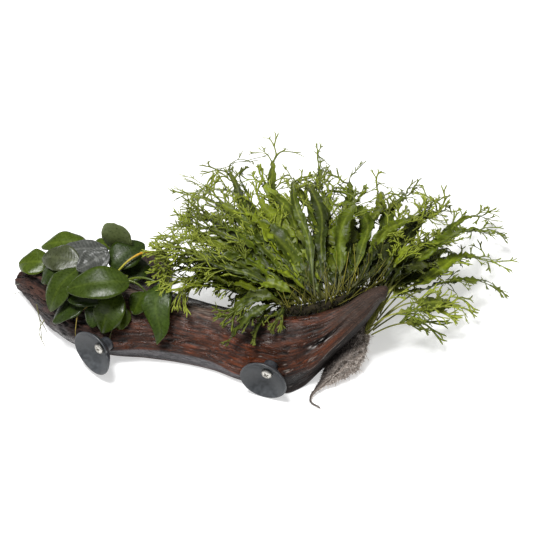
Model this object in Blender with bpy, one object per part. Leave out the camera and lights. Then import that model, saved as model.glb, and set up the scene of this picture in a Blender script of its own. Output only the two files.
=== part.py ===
"""A lace-leaved java fern and a broad-leaved anubias, both grown onto one piece of driftwood
that two rubber suction cups hold to an aquarium's glass.

Lengths here are millimetres and angles are degrees. +X runs along the log, the cups face -Y,
+Z is up, and z = 0 is the surface that the log lies on.
"""

import math

import bmesh
import bpy
import numpy as np
from mathutils import Matrix, Quaternion, Vector

MM = 0.001
FIT_GAP = 0.35
CUP_DIAMETER = 40.0
SCREW_HEAD_DIAMETER = 9.4
LEAF_THICKNESS = 1.2
FROND_THICKNESS = 1.0
SKIN_CLEARANCE = 1.4

# Places below are read from a point under the middle of the log. This moves them so that the
# whole object is centred on the part's own origin.
LOG_MIDDLE = Vector((4.3, -27.2, 0.0))

for old in list(bpy.data.objects):
    bpy.data.objects.remove(old, do_unlink=True)


def finish(name, colour, roughness, metallic=0.0):
    """A material with one colour (linear red, green, blue)."""
    material = bpy.data.materials.new(name)
    material.use_nodes = True
    shader = material.node_tree.nodes["Principled BSDF"]
    shader.inputs["Base Color"].default_value = (*colour, 1.0)
    shader.inputs["Roughness"].default_value = roughness
    shader.inputs["Metallic"].default_value = metallic
    return material


WET_WOOD = finish("wet_bogwood", (0.060, 0.032, 0.019), 0.35)
BARK = finish("fibrous_bark", (0.052, 0.034, 0.026), 0.75)
RUBBER = finish("grey_black_rubber", (0.070, 0.076, 0.082), 0.55)
STEEL = finish("stainless_steel", (0.55, 0.54, 0.52), 0.3, 1.0)
RHIZOME = finish("rhizome_skin", (0.055, 0.060, 0.020), 0.7)
ROOT_FELT = finish("root_felt", (0.150, 0.135, 0.120), 0.95)
BROAD_LEAF = finish("anubias_leaf", (0.050, 0.085, 0.018), 0.3)
OLD_STALK = finish("old_stalk", (0.50, 0.27, 0.04), 0.5)
FERN_LEAF = finish("fern_leaf", (0.100, 0.150, 0.015), 0.4)


def new_object(name, points, faces, material, smooth=True):
    """An object of the given points (mm) and faces, with every face turned outwards."""
    mesh = bpy.data.meshes.new(name)
    mesh.from_pydata([(Vector(p) + LOG_MIDDLE) * MM for p in points], [], faces)
    work = bmesh.new()
    work.from_mesh(mesh)
    bmesh.ops.recalc_face_normals(work, faces=work.faces)
    work.to_mesh(mesh)
    work.free()
    mesh.materials.append(material)
    if smooth:
        mesh.shade_smooth()
    thing = bpy.data.objects.new(name, mesh)
    bpy.context.scene.collection.objects.link(thing)
    return thing


def loft_faces(rings, sides):
    """Faces that join rings of equal size, with one flat face closing each end."""
    faces = []
    for ring in range(rings - 1):
        for side in range(sides):
            after = (side + 1) % sides
            low, high = ring * sides, (ring + 1) * sides
            faces.append((low + side, low + after, high + after, high + side))
    faces.append(tuple(range(sides))[::-1])
    faces.append(tuple((rings - 1) * sides + side for side in range(sides)))
    return faces


def cut(thing, cutter):
    """Takes the cutter's shape out of the thing, and hides the cutter."""
    cutter.hide_render = True
    cutter.display_type = "WIRE"
    modifier = thing.modifiers.new("cut_by_" + cutter.name, "BOOLEAN")
    modifier.operation = "DIFFERENCE"
    modifier.solver = "EXACT"
    modifier.object = cutter


# The log
# Each row is one cross-section of the log, looking along +X: its place x; the height of its
# underside and how far forward the underside reaches; the crisp overhanging front edge (y, z);
# the crest (y, z); the hollow or shoulder behind the crest (y, z); the back (y, z).
LOG_SECTIONS = [
    (-207, 5, -62, -66, 11, -61, 20, -57, 19, -53, 12),
    (-197, 0, -66, -74, 12, -64, 29, -56, 27, -48, 12),
    (-180, 0, -78, -86, 12, -67, 34, -54, 31, -42, 14),
    (-160, 0, -91, -99, 12, -72, 38, -54, 36, -38, 16),
    (-140, 0, -99, -107, 14, -75, 43, -54, 40, -34, 18),
    (-120, 0, -101, -112, 17, -72, 46, -52, 42, -32, 18),
    (-100, 0, -100, -112, 18, -68, 47, -50, 40, -32, 16),
    (-75, 0, -94, -101, 17, -66, 46, -48, 34, -33, 14),
    (-45, 0, -89, -94, 16, -63, 44, -46, 30, -33, 12),
    (-15, 0, -87, -92, 15, -61, 46, -45, 30, -32, 12),
    (10, 0, -89, -95, 12, -59, 47, -43, 33, -29, 14),
    (24, 0, -86, -91, 10, -57, 48, -42, 38, -24, 18),
    (38, 0, -85, -88, 12, -56, 50, -41, 40, -20, 24),
    (50, 0, -90, -88, 18, -52, 52, -39, 42, -16, 28),
    (62, 0, -77, -78, 20, -45, 54, -32, 44, -9, 30),
    (72, 10, -64, -71, 27, -37, 56, -25, 45, -3, 32),
    (81, 20, -50, -58, 35, -31, 61, -20, 48, -4, 36),
    (91, 33, -38, -46, 46, -23, 68, -12, 56, -8, 46),
    (100, 47, -31, -36, 57, -19, 73, -11, 66, -10, 57),
    (108, 63, -22, -25, 68, -18, 75, -15, 73, -15, 68),
]
LOG_START = LOG_SECTIONS[0][0]
LOG_END = LOG_SECTIONS[-1][0]
RING_SPACING = 15.5
CORNERS = 8
SPAN_STEPS = 3
FACE_BULGE = 4.0
BACK_BULGE = np.array((1.5, 2.5))
BACK_TUCK = 6.0
BARK_STARTS_AT = -120.0
HORN_STARTS_AT = 66.0
GRAIN_HEIGHT = 0.8
BARK_HEIGHT = 1.7
TIP_GRAIN_SHARE = 0.3
# The grain is two waves round the log, which drift sideways along it: how much of the height
# each has, its turn from one point of the outline to the next, and its drift for each mm.
GRAIN_WAVES = [(0.6, 2.4, 0.045), (0.4, 5.1, -0.083)]


def smooth_row(x):
    """The log's cross-section row at x, on a smooth curve through the rows above."""
    table = np.array(LOG_SECTIONS, float)
    at = int(np.clip(np.searchsorted(table[:, 0], x) - 1, 0, len(table) - 2))
    before, here, there, after = (
        table[np.clip(at + step, 0, len(table) - 1)] for step in (-1, 0, 1, 2)
    )
    share = (x - here[0]) / (there[0] - here[0])
    leave = (there - before) / 2
    arrive = (after - here) / 2
    return (
        here * (1 + 2 * share) * (1 - share) ** 2
        + leave * share * (1 - share) ** 2
        + there * share**2 * (3 - 2 * share)
        + arrive * share**2 * (share - 1)
    )


def log_ring(x):
    """One ring of the log at x: a smooth outline through the row's points, with lengthwise grain."""
    _, base, front, edge_y, edge_z, crest_y, crest_z, hollow_y, hollow_z, back_y, back_z = smooth_row(x)
    edge = np.array((edge_y, edge_z))
    crest = np.array((crest_y, crest_z))
    hollow = np.array((hollow_y, hollow_z))
    back = np.array((back_y, back_z))
    across = crest - edge
    outwards = np.array((-across[1], across[0])) / np.hypot(*across)
    corners = [
        np.array((front, base)),
        edge,
        (edge + crest) / 2 + outwards * FACE_BULGE,
        crest,
        hollow,
        (hollow + back) / 2 + BACK_BULGE,
        back,
        np.array((back_y - BACK_TUCK, base)),
    ]
    ring = []
    for number, corner in enumerate(corners):
        beyond = corners[(number + 1) % CORNERS]
        for step in range(SPAN_STEPS):
            ring.append(corner + (beyond - corner) * step / SPAN_STEPS)
    ring = np.array(ring)
    eased = 0.5 * ring + 0.25 * (np.roll(ring, 1, axis=0) + np.roll(ring, -1, axis=0))
    underside = (CORNERS - 1) * SPAN_STEPS
    crisp = [0, SPAN_STEPS, underside]
    eased[crisp] = ring[crisp]
    middle = eased.mean(axis=0)
    outwards = eased - middle
    outwards /= np.linalg.norm(outwards, axis=1)[:, None]
    number = np.arange(len(eased))
    height = np.interp(x, [BARK_STARTS_AT - 10, BARK_STARTS_AT + 15], [BARK_HEIGHT, GRAIN_HEIGHT])
    height *= np.interp(x, [HORN_STARTS_AT, LOG_END], [1.0, TIP_GRAIN_SHARE])
    relief = sum(share * np.sin(turn * number + drift * x) for share, turn, drift in GRAIN_WAVES)
    relief[crisp] = 0.0
    relief[underside:] = 0.0
    eased += outwards * (height * relief)[:, None]
    eased[:, 1] = np.maximum(eased[:, 1], 0.0)
    return [(x, y, z) for y, z in eased]


SPLITS = [BARK_STARTS_AT - FIT_GAP, BARK_STARTS_AT, HORN_STARTS_AT, HORN_STARTS_AT + FIT_GAP]
LOG_STOPS = sorted([*np.arange(LOG_START, LOG_END, RING_SPACING), LOG_END, *SPLITS])


def log_length(name, start, end, material):
    """The stretch of the log from start to end along X, as one closed object."""
    stops = [x for x in LOG_STOPS if start <= x <= end]
    points = [point for x in stops for point in log_ring(x)]
    return new_object(name, points, loft_faces(len(stops), CORNERS * SPAN_STEPS), material)


root_end = log_length("driftwood_root_end", LOG_START, BARK_STARTS_AT - FIT_GAP, BARK)
trunk = log_length("driftwood_trunk", BARK_STARTS_AT, HORN_STARTS_AT, WET_WOOD)
horn = log_length("driftwood_horn", HORN_STARTS_AT + FIT_GAP, LOG_END, WET_WOOD)

# Everything that grows against the log is cut back by a copy of it that is a fit gap larger.
log_envelope = log_length("log_envelope", LOG_START, LOG_END, WET_WOOD)
swell = log_envelope.modifiers.new("fit_gap", "DISPLACE")
swell.direction = "NORMAL"
swell.mid_level = 0.0
swell.strength = FIT_GAP * MM

# The branch that forks off the log's back, under the anubias: y, its left and right sides
# along X, and its height.
BRANCH_SECTIONS = [
    (-58, -137, -88, 38),
    (-36, -134, -87, 38),
    (-18, -131, -87, 33),
    (-4, -127, -88, 27),
    (7, -120, -91, 19),
    (13, -111, -98, 9),
]
BRANCH_SIDES = 11
BRANCH_FLATNESS = 0.7
FURROW_DEPTH = 0.04


def branch_ring(y, left, right, top):
    """A half-round outline that stands on the ground, with shallow furrows."""
    ring = []
    for number in range(BRANCH_SIDES):
        turn = math.pi * number / (BRANCH_SIDES - 1)
        furrow = 1.0 + FURROW_DEPTH * math.sin(2.6 * number + 0.07 * y)
        reach = (right - left) / 2 * furrow
        x = (left + right) / 2 + reach * math.cos(turn)
        z = top * furrow * max(math.sin(turn), 0.0) ** BRANCH_FLATNESS
        if number in (0, BRANCH_SIDES - 1):
            z = 0.0
        ring.append((x, y, z))
    return ring


branch_points = [point for row in BRANCH_SECTIONS for point in branch_ring(*row)]
back_branch = new_object(
    "driftwood_back_branch",
    branch_points,
    loft_faces(len(BRANCH_SECTIONS), BRANCH_SIDES),
    BARK,
)
cut(back_branch, log_envelope)


# Suction cups and their screws
# Both are turned about the axis that points out of the cup towards the glass. Profiles are
# (radius, height above the rim's plane), from the bore outwards.
SCREW_BORE = 2.3
NECK_RADIUS = 6.0
NECK_END = -16.0
CUP_RADIUS = CUP_DIAMETER / 2
CUP_PROFILE = [
    (SCREW_BORE, -9.6),
    (5.8, -9.6),
    (14.0, -5.0),
    (18.2, -1.1),
    (18.8, 0.0),
    (CUP_RADIUS, 0.0),
    (CUP_RADIUS, -1.0),
    (18.0, -3.8),
    (13.0, -8.2),
    (8.6, -11.2),
    (NECK_RADIUS, -12.6),
    (NECK_RADIUS, NECK_END),
    (SCREW_BORE, NECK_END),
]
CUP_SIDES = 18
SCREW_SIDES = 10
SEAT_SIDES = 14
SHANK_RADIUS = SCREW_BORE - FIT_GAP
HEAD_RADIUS = SCREW_HEAD_DIAMETER / 2
HEAD_UNDERSIDE = -9.2
HEAD_TOP = -6.6
SCREW_TIP = -29.0
SCREW_PROFILE = [
    (0.0, SCREW_TIP),
    (SHANK_RADIUS * 0.3, SCREW_TIP + 0.6),
    (SHANK_RADIUS, SCREW_TIP + 4.0),
    (SHANK_RADIUS, HEAD_UNDERSIDE),
    (HEAD_RADIUS, HEAD_UNDERSIDE),
    (HEAD_RADIUS, HEAD_UNDERSIDE + 1.0),
    (HEAD_RADIUS * 0.8, HEAD_TOP - 0.6),
    (HEAD_RADIUS * 0.45, HEAD_TOP - 0.1),
    (0.0, HEAD_TOP),
]
SEAT_RADIUS = NECK_RADIUS + 0.6
SEAT_MOUTH = 2.0
SEAT_PROFILE = [
    (0.0, SCREW_TIP - 1.5),
    (SCREW_BORE, SCREW_TIP - 0.5),
    (SCREW_BORE, NECK_END - FIT_GAP),
    (SEAT_RADIUS, NECK_END - FIT_GAP),
    (SEAT_RADIUS, SEAT_MOUTH),
    (0.0, SEAT_MOUTH),
]
# Each cup: the middle of its rim, and the way it faces. The left one is bent aside on its neck.
CUPS = {
    "left": (Vector((-107, -125, 25)), Vector((-0.35, -0.93, 0.14)).normalized()),
    "right": (Vector((34, -101.5, 20.4)), Vector((0.0, -1.0, 0.0))),
}


def turned(name, profile, sides, centre, facing, material, closed):
    """The profile turned about the facing axis. A closed profile is a ring with a bore."""
    turn_to = Vector((0, 0, 1)).rotation_difference(facing)
    points = []
    rows = []
    for radius, height in profile:
        if radius == 0.0:
            rows.append([len(points)])
            points.append(centre + turn_to @ Vector((0, 0, height)))
            continue
        rows.append(list(range(len(points), len(points) + sides)))
        for side in range(sides):
            angle = 2 * math.pi * side / sides
            spoke = Vector((radius * math.cos(angle), radius * math.sin(angle), height))
            points.append(centre + turn_to @ spoke)
    faces = []
    pairs = list(zip(rows, rows[1:]))
    if closed:
        pairs.append((rows[-1], rows[0]))
    for low, high in pairs:
        for side in range(sides):
            after = (side + 1) % sides
            corners = [low[side % len(low)], low[after % len(low)]]
            corners += [high[after % len(high)], high[side % len(high)]]
            faces.append(tuple(dict.fromkeys(corners)))
    thing = new_object(name, points, faces, material)
    thing.data.set_sharp_from_angle(angle=math.radians(40))
    return thing


RECESS_ARM = 2.6
RECESS_HALF_WIDTH = 0.55
RECESS_DEPTH = 1.2


def cross_recess(name, centre, facing):
    """A cutter shaped as a plus sign, which sinks the recess for the screwdriver."""
    turn_to = Vector((0, 0, 1)).rotation_difference(facing)
    arm, half = RECESS_ARM, RECESS_HALF_WIDTH
    quarter = [(arm, -half), (arm, half), (half, half)]
    outline = []
    for turn in range(4):
        spin = Matrix.Rotation(turn * math.pi / 2, 2)
        outline += [spin @ Vector(corner) for corner in quarter]
    points = []
    for height in (HEAD_TOP - RECESS_DEPTH, HEAD_TOP + RECESS_DEPTH):
        points += [centre + turn_to @ Vector((*corner, height)) for corner in outline]
    return new_object(name, points, loft_faces(2, len(outline)), STEEL, smooth=False)


for side, (rim_centre, facing) in CUPS.items():
    turned("suction_cup_" + side, CUP_PROFILE, CUP_SIDES, rim_centre, facing, RUBBER, True)
    screw = turned("screw_" + side, SCREW_PROFILE, SCREW_SIDES, rim_centre, facing, STEEL, False)
    cut(screw, cross_recess("cross_recess_" + side, rim_centre, facing))
    seat = turned("cup_seat_" + side, SEAT_PROFILE, SEAT_SIDES, rim_centre, facing, WET_WOOD, False)
    cut(trunk, seat)


# Rhizomes and the root mat
CURVE_STEPS = 12


def smooth_path(route, count):
    """Points evenly spread along a smooth curve through the route's points."""
    route = [Vector(point) for point in route]
    ends = [route[0] * 2 - route[1]] + route + [route[-1] * 2 - route[-2]]
    fine = []
    for number in range(1, len(ends) - 2):
        a, b, c, d = ends[number - 1 : number + 3]
        for step in range(CURVE_STEPS):
            s = step / CURVE_STEPS
            fine.append(
                0.5 * (2 * b + (c - a) * s + (2 * a - 5 * b + 4 * c - d) * s * s)
                + 0.5 * (3 * b - a - 3 * c + d) * s**3
            )
    fine.append(route[-1])
    fine = np.array(fine)
    along = np.r_[0, np.cumsum(np.linalg.norm(np.diff(fine, axis=0), axis=1))]
    wanted = np.linspace(0, along[-1], count)
    return [Vector([np.interp(w, along, fine[:, i]) for i in range(3)]) for w in wanted]


def tube(name, route, radii, sides, count, material, ripple=0.0, floor=None):
    """A round stem along the route. The radii are spread along it, and its ends are closed."""
    path = smooth_path(route, count)
    points = []
    side_way = None
    for number, centre in enumerate(path):
        ahead = path[min(number + 1, count - 1)] - path[max(number - 1, 0)]
        ahead.normalize()
        if side_way is None:
            side_way = ahead.orthogonal().normalized()
        side_way = (side_way - ahead * side_way.dot(ahead)).normalized()
        up_way = ahead.cross(side_way)
        share = number / (count - 1)
        radius = float(np.interp(share, np.linspace(0, 1, len(radii)), radii))
        for side in range(sides):
            angle = 2 * math.pi * side / sides
            lump = radius * (1 + ripple * math.sin(2.3 * number + 4.1 * side))
            spoke = side_way * math.cos(angle) + up_way * math.sin(angle)
            point = centre + spoke * lump
            if floor is not None:
                point.z = max(point.z, floor)
            points.append(point)
    return new_object(name, points, loft_faces(count, sides), material)


FERN_RHIZOME_RADIUS = 4.2
FERN_RHIZOME_ROUTE = [
    (26, -46, 48),
    (44, -42, 49),
    (62, -32, 50),
    (76, -20, 53),
    (88, -6, 51),
    (99, -7, 40),
    (98, -29, 27),
]
ANUBIAS_RHIZOME_RADIUS = 4.5
ANUBIAS_RHIZOME_ROUTE = [(-158, -70, 42), (-138, -70, 48), (-116, -66, 51), (-99, -63, 50)]
fern_rhizome = tube(
    "fern_rhizome", FERN_RHIZOME_ROUTE, [2.4, 4.2, 4.2, 4.2, 3.6, 2.0], 7, 14, RHIZOME, 0.10
)
anubias_rhizome = tube(
    "anubias_rhizome", ANUBIAS_RHIZOME_ROUTE, [2.5, 4.5, 4.5, 4.2, 2.5], 8, 11, RHIZOME, 0.08
)
ROOT_MAT_ROUTE = [
    (91, -17, 25),
    (90, -26, 17),
    (89, -37, 12),
    (84, -56, 9),
    (79, -68, 7),
    (75, -78, 5),
    (72, -88, 2.6),
]
ROOT_MAT_RADII = [7, 9.5, 11.5, 12.5, 12, 7, 2]
root_mat = tube("fern_root_mat", ROOT_MAT_ROUTE, ROOT_MAT_RADII, 10, 12, ROOT_FELT, 0.12, 0.2)
for grown in (fern_rhizome, anubias_rhizome, root_mat):
    cut(grown, log_envelope)


# Thin leaves
# A leaf is a single sheet of faces that a Solidify modifier gives its thickness.
def curve_through(start, middle, end):
    """A parabola as a function of 0 to 1 that passes through the middle point half way."""
    pull = middle * 2 - (start + end) / 2

    def at(share):
        return start * (1 - share) ** 2 + pull * 2 * share * (1 - share) + end * share**2

    return at


def thicken(thing, thickness):
    solidify = thing.modifiers.new("thickness", "SOLIDIFY")
    solidify.thickness = thickness * MM
    solidify.offset = 0.0
    return thing


RHIZOME_STEPS = 100
STALK_LIFT = 0.5


def off_rhizome(route, radius, grows_at, target=None, lean_way=None):
    """A point just off the rhizome's skin, on the side that faces the target or leans that way."""
    path = smooth_path(route, RHIZOME_STEPS + 1)
    at = round(grows_at * RHIZOME_STEPS)
    rhizome_way = (path[min(at + 1, RHIZOME_STEPS)] - path[max(at - 1, 0)]).normalized()
    outwards = lean_way or (target - path[at]).normalized() + Vector((0, 0, STALK_LIFT))
    outwards -= rhizome_way * outwards.dot(rhizome_way)
    return path[at] + outwards.normalized() * (radius + SKIN_CLEARANCE)


# Each anubias leaf: where on the rhizome it grows (0 to 1), where its blade starts, where its
# tip ends, the blade's width, how far the blade is rolled about its midrib, and how high the
# midrib arches.
ANUBIAS_LEAVES = [
    (0.00, (-177, -56, 38), (-204, -62, 33), 25, -10, 3),
    (0.20, (-147, -60, 60), (-182, -60, 50), 25, -20, 4),
    (0.10, (-160, -68, 51), (-176, -80, 41), 20, 0, 3),
    (0.26, (-152, -28, 45), (-189, -37, 40), 22, 5, 5),
    (0.50, (-127, -41, 56), (-167, -50, 52), 19, 15, 3),
    (0.58, (-131, -26, 48), (-147, -30, 46), 16, 10, 3),
    (0.64, (-123, -55, 72), (-141, -79, 69), 20, -25, -4),
    (0.74, (-119, -29, 58), (-123, -31, 91), 26, 0, -6),
    (0.86, (-112, -56, 60), (-97, -29, 66), 26, -15, 4),
    (0.96, (-106, -54, 48), (-92, -35, 47), 20, 15, 2),
    (0.36, (-141, -93, 70), (-93, -80, 72), 30, -15, 6),
    (0.14, (-147, -70, 62), (-156, -105, 40), 24, 25, 7),
    (0.30, (-141, -98, 53), (-114, -93, 49), 17, -25, 3),
    (0.46, (-128, -90, 47), (-148, -111, 33), 22, 10, 3),
    (0.56, (-115, -86, 45), (-118, -104, 31), 15, 0, 3),
    (0.72, (-99, -82, 57), (-106, -107, 32), 27, -10, 7),
    (0.80, (-94, -84, 43), (-94, -99, 30), 13, -15, 3),
    (0.90, (-80, -67, 49), (-87, -85, 42), 18, 5, 2),
    (1.00, (-67, -60, 63), (-59, -98, 29), 25, 10, 8),
]
BLADE_ROWS = 6
BLADE_FOLD = 0.10
STALK_ROWS = 2
STALK_WIDTH = 2.4


def anubias_leaf(name, grows_at, base, tip, width, roll, arch):
    """A leaf on its stalk: an oval blade, pointed at the tip and folded a little at the midrib."""
    base, tip = Vector(base), Vector(tip)
    along = (tip - base).normalized()
    side_way = along.cross(Vector((0, 0, 1)))
    if side_way.length < 0.3:
        side_way = Vector((1, 0, 0))
    side_way = Quaternion(along, math.radians(roll)) @ side_way.normalized()
    face_way = side_way.cross(along)
    root = off_rhizome(ANUBIAS_RHIZOME_ROUTE, ANUBIAS_RHIZOME_RADIUS, grows_at, base)
    stalk = curve_through(root, (root + base) / 2 + Vector((0, 0, 1.5)) - along * 2, base)
    blade = curve_through(base, (base + tip) / 2 + face_way * arch, tip)
    rows = []
    for row in range(STALK_ROWS):
        rows.append((stalk(row / STALK_ROWS), STALK_WIDTH / 2, 0.0))
    for row in range(BLADE_ROWS):
        share = row / (BLADE_ROWS - 1)
        half = width / 2 * math.sin(math.pi * share**0.85) ** 0.75
        least = STALK_WIDTH / 2 * (1 - share * 0.6)
        rows.append((blade(share), max(half, least), BLADE_FOLD * half))
    points = []
    for centre, half, fold in rows:
        points.append(centre - side_way * half + face_way * fold)
        points.append(centre)
        points.append(centre + side_way * half + face_way * fold)
    faces = []
    for row in range(len(rows) - 1):
        first = row * 3
        faces.append((first, first + 1, first + 4, first + 3))
        faces.append((first + 1, first + 2, first + 5, first + 4))
    return thicken(new_object(name, points, faces, BROAD_LEAF), LEAF_THICKNESS)


for number, leaf in enumerate(ANUBIAS_LEAVES, 1):
    anubias_leaf(f"anubias_leaf_{number:02d}", *leaf)
tube(
    "anubias_old_stalk",
    [(-109, -64, 59.5), (-101, -47, 62), (-93, -31, 58), (-86, -20, 50)],
    [0.9, 1.1, 1.3, 1.6],
    6,
    8,
    OLD_STALK,
)

# Each fern frond: where on the rhizome it grows (0 to 1), its heading from +X, how far it
# reaches, the height of its crown half way and of its tip, and how far its middle swings to
# the left of its heading. The lower layer leaves the rhizome's side and the upper one its top.
LOWER_FRONDS = [
    (0.05, 154, 162, 58, 16, -15),
    (0.11, 148, 190, 60, 11, -9),
    (0.17, 144, 207, 64, 15, -8),
    (0.23, 138, 220, 62, 9, -4),
    (0.29, 132, 248, 54, 7, 8),
    (0.35, 122, 238, 58, 17, 10),
    (0.42, 110, 224, 54, 14, 5),
    (0.48, 105, 192, 56, 22, 2),
    (0.55, 97, 188, 52, 14, -2),
    (0.61, 91, 180, 50, 16, -1),
    (0.67, 80, 168, 50, 23, 0),
    (0.84, 61, 177, 60, 8, 15),
    (0.89, 55, 158, 46, 8, 10),
    (0.93, 49, 144, 40, 5, 9),
    (0.965, 45, 108, 36, 6, 3),
    (1.00, 44, 72, 29, 7, 0),
]
UPPER_FRONDS = [
    (0.01, 232, 54, 64, 34, -8),
    (0.04, 188, 60, 58, 44, -12),
    (0.09, 192, 104, 66, 46, -22),
    (0.14, 188, 128, 76, 67, -20),
    (0.20, 127, 170, 74, 34, -2),
    (0.27, 119, 166, 84, 52, -2),
    (0.36, 113, 178, 74, 34, 2),
    (0.44, 103, 126, 82, 57, 0),
    (0.60, 77, 136, 68, 40, 8),
    (0.71, 74, 84, 62, 48, 0),
    (0.78, 72, 80, 68, 60, 4),
    (0.985, 36, 56, 52, 44, -3),
]
FROND_STALK_SHARE = 0.22
FROND_FORK_SHARE = 0.80
FROND_ROWS = 6
FROND_STALK_WIDTH = 1.6
FROND_WIDTH = 8.0
BRANCHLET_WIDTH = 1.7
LONG_FROND = 150
FIRST_FORK_ANGLE = 13
NEXT_FORK_ANGLE = 17
FIRST_FORK_SHARE = 0.45
NEXT_FORK_SHARE = 0.75
LOWEST_TIP = 1.4
MOST_ROLL = 30


def frond_half_width(share, phase):
    """Half the blade's width: a thin stalk, then a lance shape with a wavy edge."""
    if share <= FROND_STALK_SHARE:
        return FROND_STALK_WIDTH / 2
    blade = (share - FROND_STALK_SHARE) / (FROND_FORK_SHARE - FROND_STALK_SHARE)
    lance = math.sin(math.pi * (0.12 + 0.72 * blade))
    return FROND_WIDTH / 2 * lance * (1 + 0.12 * math.sin(9 * blade + phase))


def fern_frond(name, grows_at, heading, reach, crown, tip, swing, lean, roll):
    """A frond that arches from the rhizome to its tip and forks there into branchlets."""
    ahead = Vector((math.cos(math.radians(heading)), math.sin(math.radians(heading)), 0))
    left = Vector((-ahead.y, ahead.x, 0))
    lean_way = ahead * lean + Vector((0, 0, 1))
    root = off_rhizome(FERN_RHIZOME_ROUTE, FERN_RHIZOME_RADIUS, grows_at, None, lean_way)
    end = root + ahead * reach
    end.z = tip
    middle = (root + end) / 2 + left * swing
    middle.z = crown
    spine = curve_through(root, middle, end)
    points = []
    faces = []
    previous = None
    for row in range(FROND_ROWS):
        share = FROND_FORK_SHARE * row / (FROND_ROWS - 1)
        forwards = (spine(share + 0.01) - spine(share)).normalized()
        side_way = forwards.cross(Vector((0, 0, 1))).normalized()
        side_way = Quaternion(forwards, math.radians(roll * share)) @ side_way
        half = frond_half_width(share, heading)
        points += [spine(share) - side_way * half, spine(share) + side_way * half]
        here = [len(points) - 2, len(points) - 1]
        if row == FROND_ROWS - 1:
            points.append(spine(share))
            here.insert(1, len(points) - 1)
        if previous:
            faces.append(tuple(previous + here[::-1]))
        previous = here
    length = (1 - FROND_FORK_SHARE) * (end - root).length
    flat = (spine(1.0) - spine(0.85)).normalized()

    def fork(edge, turn, length, levels):
        """Grows one branchlet from the edge, then forks it again while levels are left."""
        start = (points[edge[0]] + points[edge[1]]) / 2
        spread = math.radians(turn)
        way = flat * math.cos(spread) + side_way * math.sin(spread)
        across = side_way * math.cos(spread) - flat * math.sin(spread)
        stop = start + way * length
        stop.z = max(stop.z, LOWEST_TIP)
        half = BRANCHLET_WIDTH / 2 if levels else BRANCHLET_WIDTH * 0.25
        points.extend((stop - across * half, stop + across * half))
        corners = [len(points) - 2, len(points) - 1]
        if not levels:
            faces.append((edge[0], edge[1], corners[1], corners[0]))
            return
        points.append(stop)
        middle = len(points) - 1
        faces.append((edge[0], edge[1], corners[1], middle, corners[0]))
        fork((corners[0], middle), turn - NEXT_FORK_ANGLE, length * NEXT_FORK_SHARE, levels - 1)
        fork((middle, corners[1]), turn + NEXT_FORK_ANGLE, length * NEXT_FORK_SHARE, levels - 1)

    levels = 2 if reach > LONG_FROND else 1
    fork((previous[0], previous[1]), -FIRST_FORK_ANGLE, length * FIRST_FORK_SHARE, levels)
    fork((previous[1], previous[2]), FIRST_FORK_ANGLE, length * FIRST_FORK_SHARE, levels)
    return thicken(new_object(name, points, faces, FERN_LEAF), FROND_THICKNESS)


SIDE_LEAN = 1.4
TOP_LEAN = 0.15
layers = [(frond, SIDE_LEAN) for frond in LOWER_FRONDS] + [(frond, TOP_LEAN) for frond in UPPER_FRONDS]
for number, (frond, lean) in enumerate(layers, 1):
    fern_frond(f"fern_frond_{number:02d}", *frond, lean, roll=MOST_ROLL * math.sin(2.1 * number))
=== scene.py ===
"""A lace java fern and a broad-leaved anubias, grown onto a driftwood log with two suction cups."""

import math

import bmesh
import bpy
import numpy as np
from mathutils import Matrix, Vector


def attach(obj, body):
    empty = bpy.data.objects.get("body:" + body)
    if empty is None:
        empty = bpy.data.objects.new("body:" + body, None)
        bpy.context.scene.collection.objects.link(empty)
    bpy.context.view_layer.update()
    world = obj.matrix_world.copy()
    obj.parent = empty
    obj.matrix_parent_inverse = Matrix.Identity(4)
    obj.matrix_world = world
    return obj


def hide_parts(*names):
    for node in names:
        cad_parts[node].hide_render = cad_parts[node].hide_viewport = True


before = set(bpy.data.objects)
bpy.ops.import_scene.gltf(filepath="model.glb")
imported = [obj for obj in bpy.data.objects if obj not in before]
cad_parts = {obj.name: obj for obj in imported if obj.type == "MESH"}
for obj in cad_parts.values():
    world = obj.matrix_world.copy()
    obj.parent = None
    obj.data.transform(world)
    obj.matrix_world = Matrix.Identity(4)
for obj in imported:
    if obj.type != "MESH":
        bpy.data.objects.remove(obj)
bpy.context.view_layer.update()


# The camera
# A long lens looks down at the log from the side of its suction cups, a little from the right.
# The whole object fills nearly all of the picture's width.
MM = 0.001
LOG_MIDDLE = np.array([4.3, -27.2, 0.0])
PICTURE_SIDE = 533
VIEW_AZIMUTH = math.radians(20)
VIEW_ELEVATION = math.radians(45)
VIEW_DISTANCE = 1200
VIEW_TARGET = LOG_MIDDLE + (0, 0, 45)
MM_PER_PIXEL = 0.85
SENSOR_WIDTH = 36
NEAREST_SEEN = 50


def new_object(name, data):
    """A new object of the scene that shows the data."""
    thing = bpy.data.objects.new(name, data)
    bpy.context.scene.collection.objects.link(thing)
    return thing


def aim(thing, way):
    """Turns a camera or a light to look along the way."""
    thing.rotation_euler = way.to_track_quat("-Z", "Y").to_euler()


towards_camera = Vector((
    math.sin(VIEW_AZIMUTH) * math.cos(VIEW_ELEVATION),
    -math.cos(VIEW_AZIMUTH) * math.cos(VIEW_ELEVATION),
    math.sin(VIEW_ELEVATION),
))
camera = new_object("camera", bpy.data.cameras.new("camera"))
camera.location = (Vector(VIEW_TARGET) + towards_camera * VIEW_DISTANCE) * MM
aim(camera, -towards_camera)
camera.data.sensor_width = SENSOR_WIDTH
camera.data.lens = SENSOR_WIDTH * VIEW_DISTANCE / (PICTURE_SIDE * MM_PER_PIXEL)
camera.data.clip_start = NEAREST_SEEN * MM
bpy.context.scene.camera = camera


# The driftwood log
# A piece of bogwood, dark red-brown and wet, with lengthwise grain that the water has worn into
# ridges. Its left end still has fibrous root bark, and its right end rises to a bare horn.

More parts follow.
